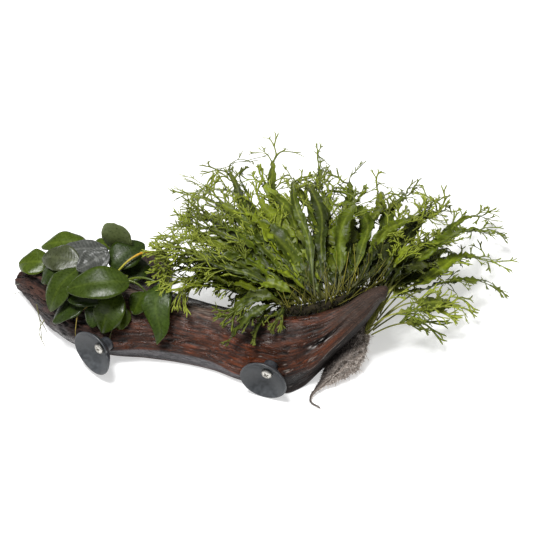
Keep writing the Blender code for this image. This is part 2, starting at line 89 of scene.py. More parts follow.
# Each section: x, the underside's height, the front's y, and then y and z of the front's upper edge,
# of the crest, of the hollow behind it and of the back.
LOG_SECTIONS = np.array([
    (-207, 5, -62, -66, 11, -61, 20, -57, 19, -53, 12),
    (-197, 0, -66, -74, 12, -64, 29, -56, 27, -48, 12),
    (-180, 0, -78, -86, 12, -67, 34, -54, 31, -42, 14),
    (-160, 0, -91, -99, 12, -72, 38, -54, 36, -38, 16),
    (-140, 0, -99, -107, 14, -75, 43, -54, 40, -34, 18),
    (-120, 0, -101, -112, 17, -72, 46, -52, 42, -32, 18),
    (-100, 0, -100, -112, 18, -68, 47, -50, 40, -32, 16),
    (-75, 0, -94, -101, 17, -66, 46, -48, 34, -33, 14),
    (-45, 0, -89, -94, 16, -63, 44, -46, 30, -33, 12),
    (-15, 0, -87, -92, 15, -61, 46, -45, 30, -32, 12),
    (10, 0, -89, -95, 12, -59, 47, -43, 33, -29, 14),
    (24, 0, -86, -91, 10, -57, 48, -42, 38, -24, 18),
    (38, 0, -85, -88, 12, -56, 50, -41, 40, -20, 24),
    (50, 0, -90, -88, 18, -52, 52, -39, 42, -16, 28),
    (62, 0, -77, -78, 20, -45, 54, -32, 44, -9, 30),
    (72, 10, -64, -71, 27, -37, 56, -25, 45, -3, 32),
    (81, 20, -50, -58, 35, -31, 61, -20, 48, -4, 36),
    (91, 33, -38, -46, 46, -23, 68, -12, 56, -8, 46),
    (100, 47, -31, -36, 57, -19, 73, -11, 66, -10, 57),
    (108, 63, -22, -25, 68, -18, 75, -15, 73, -15, 68),
], float)
LOG_START, LOG_END = LOG_SECTIONS[0, 0], LOG_SECTIONS[-1, 0]
LOG_RINGS = 262
CORNERS = 8
SPAN_STEPS = 3
# A turn is a place round the log, counted in outline points from the foot of the front.
UNDERSIDE_TURN = 18
SHOWN_POINTS, UNDERSIDE_POINTS = 204, 24
FACE_BULGE = 4.0
BACK_BULGE = (1.5, 2.5)
BACK_TUCK = 6.0
GIRTH = 200.0
BARK_ENDS = -112.0
HORN_STARTS = 62.0
END_BULGE = 3.2
END_SHRINKS = (0.9, 0.7, 0.4, 0.12)
# The knot: its x and its turn, its length along x, its width in turns, and its depth.
KNOT_AT = (70, 5.5)
KNOT_LENGTH, KNOT_WIDTH, KNOT_DEPTH = 9.0, 0.42, 3.6


def unit(vectors):
    """Vectors divided by their lengths."""
    return vectors / np.maximum(np.linalg.norm(vectors, axis=-1, keepdims=True), 1e-9)


def linear(colour):
    """A hex sRGB colour as linear red, green, blue."""
    value = np.array([int(colour[i : i + 2], 16) for i in (1, 3, 5)]) / 255
    return np.where(value <= 0.04045, value / 12.92, ((value + 0.055) / 1.055) ** 2.4)


LATTICE_TURN = np.array([(0.36, 0.48, -0.8), (-0.8, 0.6, 0.0), (0.48, 0.64, 0.6)])


def noise(places, seed):
    """Smooth noise from -1 to 1: each whole-number place has a random value, and the values of the
    eight round a point are eased together by how near they are. The lattice of places is turned,
    so that its rows don't line up with the wood's grain."""
    places = places @ LATTICE_TURN
    cell = np.floor(places).astype(np.int64)
    part = places - cell
    part = part * part * (3 - 2 * part)
    total = 0.0
    for corner in np.ndindex(2, 2, 2):
        at = (cell + corner) * (73856093, 19349663, 83492791)
        mixed = (at[..., 0] ^ at[..., 1] ^ at[..., 2]) + seed * 40503
        mixed = (mixed ^ (mixed >> 13)) * 1274126177
        value = ((mixed ^ (mixed >> 16)) & 0xFFFF) / 32767.5 - 1
        total = total + value * np.prod(np.where(corner, part, 1 - part), axis=-1)
    return total


def step_up(value, low, high):
    """0 below low, 1 above high, and a smooth rise between them."""
    share = np.clip((value - low) / (high - low), 0, 1)
    return share * share * (3 - 2 * share)


def mix(low, high, share):
    """The colour low where share is 0, and high where it is 1. Either may be given as hex."""
    low, high = (linear(end) if isinstance(end, str) else end for end in (low, high))
    share = np.asarray(share)[..., None]
    return low * (1 - share) + high * share


def between(value, starts, full, ends, gone):
    """0 up to starts, 1 from full to ends, 0 from gone on, and smooth slopes between them."""
    return step_up(value, starts, full) * (1 - step_up(value, ends, gone))


def hump(value, middle, width):
    """1 where value is at the middle, and about a third where it is a width away."""
    return np.exp(-(((value - middle) / width) ** 2))


def spots(*axes):
    """Points from their three coordinates, each spread over the shape that they share."""
    return np.stack(np.broadcast_arrays(*axes), -1)


def cubic(before, here, there, after, share):
    """A cubic from here to there whose slopes are half the steps between their neighbours."""
    return (
        here * (1 + 2 * share) * (1 - share) ** 2
        + (there - before) / 2 * share * (1 - share) ** 2
        + there * share**2 * (3 - 2 * share)
        + (after - here) / 2 * share**2 * (share - 1)
    )


def log_rows(x):
    """The cross-section rows at each x, on smooth curves through the log's rows."""
    at = np.clip(np.searchsorted(LOG_SECTIONS[:, 0], x) - 1, 0, len(LOG_SECTIONS) - 2)
    rows = [LOG_SECTIONS[np.clip(at + step, 0, len(LOG_SECTIONS) - 1)] for step in (-1, 0, 1, 2)]
    share = ((x - rows[1][:, 0]) / (rows[2][:, 0] - rows[1][:, 0]))[:, None]
    return cubic(*rows, share)


def log_outlines(x):
    """The (y, z) outline at each x: eight corners, three steps between each two, and each point
    eased towards its neighbours, apart from the crisp front edge and the edges of the underside."""
    row = log_rows(x)
    base, front = row[:, 1], row[:, 2]
    edge, crest, hollow, back = (row[:, i : i + 2] for i in (3, 5, 7, 9))
    across = crest - edge
    outwards = unit(np.stack([-across[:, 1], across[:, 0]], -1))
    corners = np.stack([
        np.stack([front, base], -1),
        edge,
        (edge + crest) / 2 + outwards * FACE_BULGE,
        crest,
        hollow,
        (hollow + back) / 2 + BACK_BULGE,
        back,
        np.stack([back[:, 0] - BACK_TUCK, base], -1),
    ], 1)
    beyond = np.roll(corners, -1, axis=1)
    steps = np.arange(SPAN_STEPS)[:, None] / SPAN_STEPS
    outline = (corners[:, :, None] * (1 - steps) + beyond[:, :, None] * steps).reshape(len(x), -1, 2)
    eased = outline / 2 + (np.roll(outline, 1, axis=1) + np.roll(outline, -1, axis=1)) / 4
    crisp = [0, SPAN_STEPS, (CORNERS - 1) * SPAN_STEPS]
    eased[:, crisp] = outline[:, crisp]
    return eased


def round_the_log(outline, turn):
    """Places on a smooth closed curve through each outline, at turn, counted in its points."""
    at = np.floor(turn).astype(int)
    count = outline.shape[1]
    rows = [outline[:, (at + step) % count] for step in (-1, 0, 1, 2)]
    return cubic(*rows, (turn - at)[:, None])


def quads(rows, columns, closed=False):
    """The faces of a grid of points, as four corners each. A closed grid joins its last column to
    its first."""
    row, column = np.mgrid[0 : rows - 1, 0 : columns if closed else columns - 1]
    low, high, after = row * columns, (row + 1) * columns, (column + 1) % columns
    return np.stack([low + column, low + after, high + after, high + column], -1).reshape(-1, 4)


def cap(first, count):
    """Closes a ring of an even count of points, from first, with a fan of four-sided faces."""
    step = np.arange(1, count - 2, 2)
    return first + np.stack([step * 0, step, step + 1, step + 2], -1)


def tube_faces(rows, columns, count=1):
    """The faces of a closed grid with both ends capped, or of count such grids in a row."""
    ends = [cap(0, columns), cap((rows - 1) * columns, columns)]
    one = np.concatenate([quads(rows, columns, closed=True), *ends])
    return (one + (np.arange(count) * rows * columns)[:, None, None]).reshape(-1, 4)


def tube(grid, colour):
    """A part from a grid whose columns go round, with both ends capped. A part is its points, its
    faces and a colour for each point."""
    return grid.reshape(-1, 3), tube_faces(*grid.shape[:2]), colour.reshape(-1, colour.shape[-1])


def rounded_end(ring, middle, bulge, shrinks):
    """Copies of a ring, each smaller and further along the bulge."""
    shrink = np.array(shrinks)[:, None, None]
    return middle + (ring - middle) * shrink + bulge * np.sqrt(1 - shrink**2)


def set_inputs(tree, node, inputs):
    """Gives each input its value, or links it to the socket that stands for it."""
    for name, value in inputs.items():
        if isinstance(value, bpy.types.NodeSocket):
            tree.links.new(value, node.inputs[name])
        else:
            node.inputs[name].default_value = value


def add(tree, kind, inputs, settings=()):
    """A new node with its settings and inputs."""
    node = tree.nodes.new(kind)
    for name, value in settings:
        setattr(node, name, value)
    set_inputs(tree, node, inputs)
    return node


def new_material(name):
    """An empty Principled material: the material, its node tree and its shader."""
    material = bpy.data.materials.new(name)
    material.use_nodes = True
    tree = material.node_tree
    return material, tree, tree.nodes["Principled BSDF"]


def tint_and_place(tree):
    """A node with the mesh's own colours, and the socket of the places on the mesh."""
    tint = add(tree, "ShaderNodeAttribute", {}, [("attribute_name", "tint")])
    return tint, add(tree, "ShaderNodeTexCoord", {}).outputs["Object"]


def speckle(tree, place, size, detail):
    """Noise from 0 to 1 over the places, with features of about size millimetres."""
    inputs = {"Vector": place, "Scale": 1 / (size * MM), "Detail": detail}
    return add(tree, "ShaderNodeTexNoise", inputs).outputs["Fac"]


def spread(tree, value, low, high, least, most):
    """The value's range from low to high, made to run from least to most."""
    inputs = {"Value": value, "From Min": low, "From Max": high, "To Min": least, "To Max": most}
    return add(tree, "ShaderNodeMapRange", inputs).outputs[0]


def shaded(tree, tint, shade):
    """The mesh's own colour times a shade."""
    inputs = {0: 1.0, 6: tint.outputs["Color"], 7: shade}
    return add(tree, "ShaderNodeMix", inputs, [("data_type", "RGBA"), ("blend_type", "MULTIPLY")]).outputs[2]


def bumps(tree, height, strength, depth, under=None):
    """Bumps as deep as depth in millimetres, on top of other bumps if they are given."""
    inputs = {"Height": height, "Strength": strength, "Distance": depth * MM}
    if under:
        inputs["Normal"] = under
    return add(tree, "ShaderNodeBump", inputs).outputs[0]


def add_piece(name, part, material, slot, *nodes):
    """A piece of the object: its mesh in metres, with faces turned outwards, riding on the root
    body in place of the named nodes."""
    points, faces, colour = part
    mesh = bpy.data.meshes.new(name)
    mesh.from_pydata(((points + LOG_MIDDLE) * MM).tolist(), [], faces.tolist())
    work = bmesh.new()
    work.from_mesh(mesh)
    bmesh.ops.recalc_face_normals(work, faces=work.faces)
    work.to_mesh(mesh)
    work.free()
    mesh.shade_smooth()
    tint = mesh.attributes.new("tint", "FLOAT_COLOR", "POINT")
    if colour.shape[1] == 3:
        colour = np.column_stack([colour, np.zeros(len(colour))])
    tint.data.foreach_set("color", colour.ravel())
    mesh.materials.append(material)
    piece = new_object(name, mesh)
    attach(piece, "root")
    if nodes:
        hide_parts(*nodes)


def push_out(grid, height):
    """The grid's points moved along its own normals by height. The grid's columns go round."""
    along = np.gradient(grid, axis=0)
    round_it = np.roll(grid, -1, axis=1) - np.roll(grid, 1, axis=1)
    normal = unit(np.cross(along, round_it))
    return grid + normal * height[..., None], normal


def wood_colour(grid, normal, relief, place, turn):
    """The log's colour, and in a fourth column how dry it is. It is dark red-brown, with orange
    patches and nearly black grooves, and grey in patches near the crest. The strip under the front
    edge is painted grey, a painted reflection of the white floor, and so is the bark low down at the
    front. A thin light grey line along the right end's rim is a painted highlight, and short light
    dashes on the face are painted glints. The right end's side face and the hollow behind the crest
    are painted dark, as painted shade. The bark and the foot are darker and dull."""
    x, z = grid[..., 0], grid[..., 2]
    streak = noise(place / (24, 1.3, 1.3), 21) * 0.6 + noise(place / (8, 0.75, 0.75), 22) * 0.6
    patch = noise(place / (26, 6, 6), 23) * 0.8 + noise(place / (11, 3, 3), 25) * 0.4
    dash = noise(place / (7, 1.1, 1.1), 24)
    lined = step_up(streak + dash, -0.5, 0.9)
    red = step_up(patch + 0.4 * streak, 0.0, 0.8) * step_up(x, -90, 10)
    red = red * (1 - 0.45 * step_up(x, 5, 40)) * (1 - 0.6 * step_up(x, 62, 84))
    grey = hump(turn, 3 * SPAN_STEPS, 1.6) * step_up(patch + 0.5 * streak, -0.7, 0.3)
    grey = grey * between(x, -125, -105, -10, 30)
    # The strip under the front edge, painted grey: a painted reflection of the white floor.
    strip = between(turn, 0.2, 0.8, SPAN_STEPS - 0.15, SPAN_STEPS + 0.2) * between(x, -130, -110, 40, 60)
    bark = 1 - step_up(x + 6 * patch, BARK_ENDS - 12, BARK_ENDS + 10)
    ashen = between(x, -162, -150, -128, -120) * (1 - step_up(z + 4 * patch, 10, 20))
    fibres = mix("#0e0908", "#40281f", step_up(relief + 0.7 * streak, -1.1, 1.2))
    # Bark low down that faces the front is painted grey: a painted reflection of the white floor.
    fibres = mix(fibres, "#6b6b6c", 0.4 * step_up(-normal[..., 1], 0.3, 0.9) * (1 - step_up(z, 12, 26)))
    fibres = mix(fibres, "#8f8f8f", 0.7 * ashen * step_up(streak + relief, -1.0, 0.4))
    horn = step_up(x, HORN_STARTS - 4, HORN_STARTS + 26)
    right_side = step_up(x, 58, 68)
    # A thin line where the right end's surface turns, painted light grey: a painted highlight along the rim.
    rim = hump(normal[..., 0], 0.58, 0.03) * right_side * (1 - 0.75 * step_up(z, 38, 56))
    # The right end's side face is painted dark, lighter towards its top: painted shade.
    shaded_facet = step_up(normal[..., 0], 0.62, 0.75) * right_side
    grey_brown = mix("#1d1a19", "#4b4642", step_up(z, 44, 62))
    foot = step_up(x, 34, 48) * (1 - step_up(z, 16, 27)) * (1 - 0.6 * step_up(x, 58, 66))
    # Short light dashes along the grain of the face, painted as glints of the wet film: a painted highlight.
    painted_glints = step_up(noise(place / (3.4, 0.7, 0.7), 26) + 0.5 * noise(place / (12, 8, 8), 27), 0.80, 0.98)
    painted_glints = painted_glints * step_up(x, -60, 20) * (1 - step_up(z, 40, 50)) * (1 - bark)
    colour = mix("#160b06", "#4b240f", step_up(relief + streak * 0.9, -1.0, 1.2))
    for paint, share in (
        ("#7b360f", 0.7 * red * lined),
        ("#150e09", 0.6 * step_up(-patch + 0.3 * dash, 0.15, 0.8)),
        (mix("#2d2a26", "#6d675d", lined), 0.6 * grey),
        # The hollow behind the crest and the back are painted dark: painted shade.
        ("#1b1613", 0.8 * between(turn, 9.6, 11, 20, 21)),
        (mix("#393838", "#6b6a6e", 0.5 + 0.5 * streak), 0.9 * strip),
        (fibres, bark * (1 - strip)),
        (mix("#1c1510", "#3d3027", step_up(0.6 * streak + 0.5 * dash, -0.9, 0.9)), 0.75 * horn),
        (grey_brown * (0.9 + 0.35 * streak[..., None]), 0.9 * shaded_facet),
        ("#98928d", 0.6 * rim),
        ("#0c0907", 0.85 * foot),
        ("#a59c93", 0.45 * painted_glints),
    ):
        colour = mix(colour, paint, share)
    dry = np.clip(0.9 * bark + 0.85 * strip + 0.5 * shaded_facet + 0.5 * horn + 0.3 * grey, 0, 1)
    return np.concatenate([colour, dry[..., None]], -1)


def log_part():
    """The log as rings along x. Each ring is the section's outline with relief pushed out of it:
    a broad swell, lengthwise grain, short chips and one knot, and pits in the bark. Round ends
    close it."""
    x = np.linspace(LOG_START, LOG_END, LOG_RINGS)
    shown = np.linspace(0, UNDERSIDE_TURN, SHOWN_POINTS, endpoint=False)
    turn = np.r_[shown, np.linspace(UNDERSIDE_TURN, CORNERS * SPAN_STEPS, UNDERSIDE_POINTS, endpoint=False)]
    outline = round_the_log(log_outlines(x), turn)
    grid = spots(x[:, None], outline[..., 0], outline[..., 1])
    angle = turn / (CORNERS * SPAN_STEPS) * 2 * math.pi
    radius = GIRTH / (2 * math.pi)
    place = spots(x[:, None], radius * np.cos(angle), radius * np.sin(angle))
    place = place + noise(place / (42, 14, 14), 5)[..., None] * (0, 6, 6)
    place = place + noise(place / (13, 5, 5), 9)[..., None] * (0, 1.1, 1.1)
    swell = noise(place / (40, 12, 12), 1)
    ridge = 1 - 2 * np.abs(noise(place / (34, 3.6, 3.6), 2))
    grain = noise(place / (15, 1.8, 1.8), 3)
    fine = noise(place / (7, 1.0, 1.0), 4)
    chips = step_up(noise(place / (6, 2.2, 2.2), 8), 0.30, 0.6)
    pits = -step_up(noise(place / (4.6, 2.6, 2.6), 6), 0.10, 0.6)
    lumps = noise(place / (9, 4, 4), 7)
    splinters = noise(place / (2.6, 1.4, 1.4), 10)
    x, turn = x[:, None], turn[None]
    bark = 1 - step_up(x, BARK_ENDS - 14, BARK_ENDS + 12)
    grooved = between(x, -112, -95, -20, 15) * hump(turn, 4.6, 1.3)
    knot = hump(x, KNOT_AT[0], KNOT_LENGTH) * hump(turn, KNOT_AT[1], KNOT_WIDTH)
    relief = 0.25 * ridge + 0.4 * grain + 0.6 * fine - 0.7 * chips
    height = 1.2 * swell + 0.16 * ridge + 0.20 * grain + 0.30 * fine - 0.40 * chips
    height = height + grooved * 0.7 * ridge
    height = height * (1 - 0.35 * bark) + bark * (1.7 * lumps + 2.1 * pits + 0.5 * splinters)
    height = height * (1 - 0.6 * step_up(x, HORN_STARTS, LOG_END - 10))
    height = height - (KNOT_DEPTH - 2.2 * splinters) * knot
    height = height * (1 - 0.7 * hump(turn, SPAN_STEPS, 0.5)) * step_up(grid[..., 2], 0.5, 6)
    pushed, normal = push_out(grid, height)
    pushed[..., 2] = np.maximum(pushed[..., 2], 0.0)
    relief = relief + bark * (0.9 * pits + 0.5 * lumps)
    colour = wood_colour(grid, normal, relief, place, turn[0])
    orange = hump(x, KNOT_AT[0] + 7, 8) * hump(turn, KNOT_AT[1] - 1.1, 0.5)
    for paint, share in (
        ("#74350f", 0.4 * orange),
        # The knot's groove is painted near black: painted shade in the recess.
        ("#0d0a09", np.clip(1.3 * knot, 0, 1)),
        # Its splinters are painted light grey: painted glints.
        ("#c9c5c0", 0.6 * step_up(splinters, 0.25, 0.6) * step_up(knot, 0.25, 0.6)),
    ):
        colour[..., :3] = mix(colour[..., :3], paint, share)
    colour[..., 3] = colour[..., 3] * (1 - knot) - 0.6 * knot
    bulge = np.array((END_BULGE, 0, 0))
    start = rounded_end(pushed[0], pushed[0].mean(axis=0), -bulge, END_SHRINKS)
    end = rounded_end(pushed[-1], pushed[-1].mean(axis=0), bulge, END_SHRINKS)
    more = len(END_SHRINKS)
    colour = np.concatenate([colour[:1].repeat(more, 0), colour, colour[-1:].repeat(more, 0)])
    return tube(np.concatenate([start[::-1], pushed, end]), colour)


def wood_material(name):
    """Waterlogged bogwood: dark, and glossy where the film of water is unbroken. Dry parts are
    dull. The grain's fine lines are 0.5 mm wide and about 9 mm long."""
    line_width, line_length, pore, film = 0.5, 9.0, 1.1, 7.0
    material, tree, shader = new_material(name)
    tint, place = tint_and_place(tree)
    scale = (1 / line_length, 1 / line_width, 1 / line_width)
    along = add(tree, "ShaderNodeMapping", {"Vector": place, "Scale": scale}).outputs[0]
    lines = speckle(tree, along, 1.0, 3.0)
    wet = spread(tree, speckle(tree, place, film, 3.0), 0.40, 0.62, 0.24, 0.62)
    rough = add(tree, "ShaderNodeMix", {0: tint.outputs["Alpha"], 2: wet, 3: 0.8}, [("data_type", "FLOAT")])
    set_inputs(tree, shader, {
        "Base Color": shaded(tree, tint, spread(tree, lines, 0.32, 0.68, 0.42, 1.6)),
        "Roughness": rough.outputs[0],
        "Normal": bumps(tree, speckle(tree, place, pore, 2.0), 0.45, 0.5, bumps(tree, lines, 0.8, 0.6)),
        "IOR": 1.34,
    })
    return material


WET_BOGWOOD = wood_material("wet_bogwood")
add_piece(
    "driftwood_log", log_part(), WET_BOGWOOD, "wet_bogwood",
    "driftwood_trunk", "driftwood_root_end", "driftwood_horn",
)


# The driftwood's back branch
# A stump of root that forks off the log's back under the anubias. It is part of the same wood,
# and its bark is rough and fibrous.

# Each section: y, the left and the right side's x, and the top's height.
BRANCH_SECTIONS = np.array([
    (-58, -137, -88, 38),
    (-36, -134, -87, 38),
    (-18, -131, -87, 33),
    (-4, -127, -88, 27),
    (7, -120, -91, 19),
    (13, -111, -98, 9),
], float)
BRANCH_FLATNESS = 0.7
BRANCH_RINGS, BRANCH_POINTS = 90, 120
BRANCH_END_BULGE = 2.2
BRANCH_END_SHRINKS = (0.8, 0.5, 0.1)


def branch_part():
    """Half-round arches along y on a flat base, with furrows along the branch and a rounded end."""
    y = np.linspace(-50, 13, BRANCH_RINGS)
    at, *sides = BRANCH_SECTIONS.T
    left, right, top = (np.interp(y, at, side)[:, None] for side in sides)
    turn = np.linspace(0, math.pi, BRANCH_POINTS)
    z = top * np.maximum(np.sin(turn), 0) ** BRANCH_FLATNESS
    grid = spots((left + right) / 2 + (right - left) / 2 * np.cos(turn), y[:, None], z)
    place = grid[..., [1, 0, 2]]
    ridge = 1 - 2 * np.abs(noise(place / (30, 4, 4), 31))
    fine = noise(place / (9, 1.5, 1.5), 32)
    outwards = unit(grid - spots((left + right) / 2, y[:, None], top * 0.3))
    grid = grid + outwards * ((1.3 * ridge + 0.6 * fine) * step_up(z, 0.3, 5))[..., None]
    grid[..., 2] = np.maximum(grid[..., 2], 0.0)
    middle = grid[-1].mean(axis=0) * (1, 1, 0)
    end = rounded_end(grid[-1], middle, np.array((0, BRANCH_END_BULGE, 0)), BRANCH_END_SHRINKS)
    colour = mix("#17110e", "#3c2f28", step_up(0.5 * ridge + 0.5 * fine, -0.8, 0.9))
    colour = np.concatenate([colour, np.full((*z.shape, 1), 0.6)], -1)
    colour = np.concatenate([colour, colour[-1:].repeat(len(BRANCH_END_SHRINKS), 0)])
    return tube(np.concatenate([grid, end]), colour)


DAMP_BARK = wood_material("damp_root_bark")
add_piece("driftwood_branch", branch_part(), DAMP_BARK, "fibrous_bark", "driftwood_back_branch")


# The suction cups
# Two moulded rubber cups, 40 mm across, on short necks in the log's front. The left one is bent
# aside on its neck, and its rim has a fold.
CUP_DIAMETER = 40.0
TURNED_SIDES = 96
CUP_STEPS = 3
# The left cup's fold: its angle on the rim, its width and how far it presses the rim in.
FOLD_AT, FOLD_WIDTH, FOLD_DEPTH = 2.66, 0.17, 3.4
# Where each cup stands, and which way it faces.
CUPS = {
    "left": ((-107, -125, 25), (-0.35, -0.93, 0.14)),
    "right": ((34, -101.5, 20.4), (0.0, -1.0, 0.0)),
}
# Radius and height, from the bore's inner edge over the dish and the rim to the neck.
CUP_OUTLINE = [
    (2.1, -9.3), (4.9, -9.45), (6.2, -9.2), (8.6, -8.1), (11.4, -6.5), (14.2, -4.7), (16.6, -2.8),
    (18.2, -1.2), (18.9, -0.45), (19.4, -0.1), (19.8, -0.15), (20.0, -0.5), (19.95, -1.0),
    (19.4, -1.7), (18.0, -3.5), (15.6, -6.0), (13.0, -8.1), (10.6, -9.9), (8.6, -11.0),
    (7.0, -11.7), (6.3, -12.6), (6.1, -14.5), (6.0, -19.0), (2.1, -19.0),
]


def facing_frame(facing):
    """Two directions square to the way that a cup faces, and that way."""
    ahead = unit(np.array(facing, float))
    level = unit(np.cross(ahead, (0, 0, 1)))
    return level, np.cross(level, ahead), ahead


def turned_grid(outline, centre, facing, steps, sink):
    """The outline turned about the way it faces: radius and height go round a circle, with steps
    rows between two of the outline's points. sink gives how far each point moves in and along
    the axis, from its angle, radius and height."""
    outline = np.array(outline, float)
    share = np.arange(0, len(outline) - 1 + 1e-6, 1 / steps)
    radius = np.interp(share, np.arange(len(outline)), outline[:, 0])[:, None]
    height = np.interp(share, np.arange(len(outline)), outline[:, 1])[:, None]
    angle = np.linspace(0, 2 * math.pi, TURNED_SIDES, endpoint=False)[None]
    inwards, along = sink(angle, radius, height)
    radius, height = radius - inwards, height + along
    level, up, ahead = facing_frame(facing)
    return (
        np.array(centre, float)
        + (radius * np.cos(angle))[..., None] * level
        + (radius * np.sin(angle))[..., None] * up
        + height[..., None] * ahead
    )


def rubber_material():
    """Moulded rubber, dark slate grey: a soft, wide sheen, with fine water marks 3 mm across."""
    mark, skin = 3.0, 0.35
    material, tree, shader = new_material("grey_moulded_rubber")
    tint, place = tint_and_place(tree)
    marks = speckle(tree, place, mark, 4.0)
    set_inputs(tree, shader, {
        "Base Color": shaded(tree, tint, spread(tree, marks, 0.35, 0.7, 0.72, 1.35)),
        "Roughness": spread(tree, marks, 0.35, 0.7, 0.34, 0.56),
        "Normal": bumps(tree, speckle(tree, place, skin, 1.0), 0.12, 0.2),
        "IOR": 1.52,
    })
    return material


def left_cup_fold(angle, radius, height):
    """A fold that presses the rim in at the right, and a slight warp of the whole dish."""
    outer = (radius / (CUP_DIAMETER / 2)) ** 4
    fold = hump(angle, FOLD_AT, FOLD_WIDTH)
    return outer * FOLD_DEPTH * fold, outer * (0.8 * np.sin(2 * angle + 0.6) - 1.5 * fold)


def right_cup_warp(angle, radius, height):
    """A slight warp of the rim."""
    outer = (radius / (CUP_DIAMETER / 2)) ** 4
    return 0, outer * 0.45 * np.sin(2 * angle + 2.0)


def cup_part(centre, facing, sink):
    """A cup: its outline turned into a ring with a bore for the screw."""
    grid = turned_grid(CUP_OUTLINE, centre, facing, CUP_STEPS, sink)
    rows, columns = grid.shape[:2]
    ring_number = np.linspace(0, 1, rows)[:, None] + np.zeros((1, columns))
    # The dish is painted lighter than the rim's outer side and the back, with a dark line round the lip:
    # painted shade on one rubber.
    colour = mix("#393c3f", "#2c2e32", step_up(ring_number, 0.35, 0.55))
    colour = mix(colour, "#24262a", 0.8 * hump(ring_number, 0.42, 0.035))
    last, first = (rows - 1) * columns + np.arange(columns), np.arange(columns)
    seam = np.stack([last, np.roll(last, -1), np.roll(first, -1), first], -1)
    faces = np.concatenate([quads(rows, columns, closed=True), seam])
    return grid.reshape(-1, 3), faces, colour.reshape(-1, 3)


RUBBER = rubber_material()
for side, sink in (("left", left_cup_fold), ("right", right_cup_warp)):
    cup = cup_part(*CUPS[side], sink)
    add_piece(f"suction_cup_{side}_moulded", cup, RUBBER, "cup_rubber", f"suction_cup_{side}")


# The screws
# Stainless steel pan-head screws with a cross recess, driven through the cups into the wood.
# Only the heads show, in the bottom of each dish.

# Radius and height, from the middle of the head to the point.
SCREW_OUTLINE = [
    (0.05, -6.5), (1.0, -6.52), (2.0, -6.6), (3.0, -6.8), (3.8, -7.15), (4.35, -7.6), (4.68, -8.2),
    (4.7, -9.0), (4.6, -9.25), (1.95, -9.3), (1.95, -24.0), (0.6, -28.6), (0.05, -29.0),
]
SCREW_STEPS = 6
RECESS_ARM = 2.5
RECESS_HALF_WIDTH = 0.52
RECESS_DEPTH = 1.5
RECESS_TURN = 0.5
HEAD_UNDERSIDE = -8


def cross_recess(angle, radius, height):
    """Sinks a plus sign into the head: deepest in the middle, with steep sides."""
    x, y = radius * np.cos(angle + RECESS_TURN), radius * np.sin(angle + RECESS_TURN)
    narrow = np.minimum(np.abs(x), np.abs(y))
    across = 1 - step_up(narrow, RECESS_HALF_WIDTH - 0.12, RECESS_HALF_WIDTH + 0.12)
    along = 1 - step_up(radius, RECESS_ARM - 0.5, RECESS_ARM)
    return 0, -RECESS_DEPTH * across * along * (height > HEAD_UNDERSIDE)


def steel_material():
    """Stainless steel: neutral grey, with fine turning scratches that blur its reflections."""
    scratch = 0.25
    material, tree, shader = new_material("stainless_steel")
    tint, place = tint_and_place(tree)
    set_inputs(tree, shader, {
        "Base Color": tint.outputs["Color"],
        "Roughness": spread(tree, speckle(tree, place, scratch, 2.0), 0.3, 0.7, 0.28, 0.5),
        "Metallic": 1.0,
    })
    return material


def screw_part(centre, facing):
    """The screw's outline turned, with the recess sunk into its head."""
    grid = turned_grid(SCREW_OUTLINE, centre, facing, SCREW_STEPS, cross_recess)
    return tube(grid, np.broadcast_to(linear("#c4c1ba"), grid.shape))


STEEL = steel_material()
for side in CUPS:
    add_piece(f"screw_{side}_steel", screw_part(*CUPS[side]), STEEL, "screw_steel", f"screw_{side}")


# The fern's root mat
# A felt of brown-grey roots, each thinner than a millimetre, that hangs from the rhizome's end
# down the log's right side and trails off over the ground.
ROOT_MAT_ROUTE = [
    (94, -15, 33), (90, -20, 24), (90, -28, 16), (88, -41, 11), (84, -56, 9), (79, -68, 7), (74, -79, 4.5),
    (71, -88, 2.6), (73, -94, 1.5), (81, -96, 1),
]
ROOT_MAT_RADII = [4, 8, 10.5, 12.5, 13.5, 12, 8, 3.6, 1.4, 0.8, 0.5]
ROOT_MAT_RINGS, ROOT_MAT_SIDES = 110, 64
ROOT_COUNT = 4400
ROOT_THICKNESS = 0.45
STRAND_SIDES = 4
LOWEST_STRAND = 0.3


def smooth_line(route, shares):
    """Places at shares (0 to 1) of the length of a smooth curve through the route, with twelve
    steps of a cubic between two of its points."""
    route = np.asarray(route, float)
    ends = np.vstack([2 * route[0] - route[1], route, 2 * route[-1] - route[-2]])
    share = np.linspace(0, 1, 12, endpoint=False)[:, None]
    fine = cubic(*(ends[i : len(ends) - 3 + i, None] for i in range(4)), share).reshape(-1, 3)
    fine = np.vstack([fine, route[-1]])
    length = np.r_[0, np.cumsum(np.linalg.norm(np.diff(fine, axis=0), axis=1))]
    wanted = np.asarray(shares) * length[-1]
    return np.stack([np.interp(wanted, length, fine[:, i]) for i in range(3)], -1)


def circle(count):
    """Angles that go once round in equal steps."""
    return np.arange(count) * 2 * math.pi / count


def stem_part(path, radii, sides, colour):
    """A round stem: a circle of points square to the path at each of its points, closed at both
    ends. The radii may be one for each path point, or one for each point of each circle."""
    count = len(path)
    ahead = unit(np.gradient(path, axis=0))
    rarely = np.eye(3)[np.argmin(np.abs(path[-1] - path[0]))]
    level = unit(np.cross(ahead, rarely))[:, None]
    up = np.cross(ahead[:, None], level)
    angle = circle(sides)[None, :, None]
    radii = np.broadcast_to(np.reshape(radii, (count, -1)), (count, sides))[..., None]
    grid = path[:, None] + radii * (level * np.cos(angle) + up * np.sin(angle))
    return tube(grid, np.broadcast_to(np.reshape(colour, (-1, 1, 3)), grid.shape))


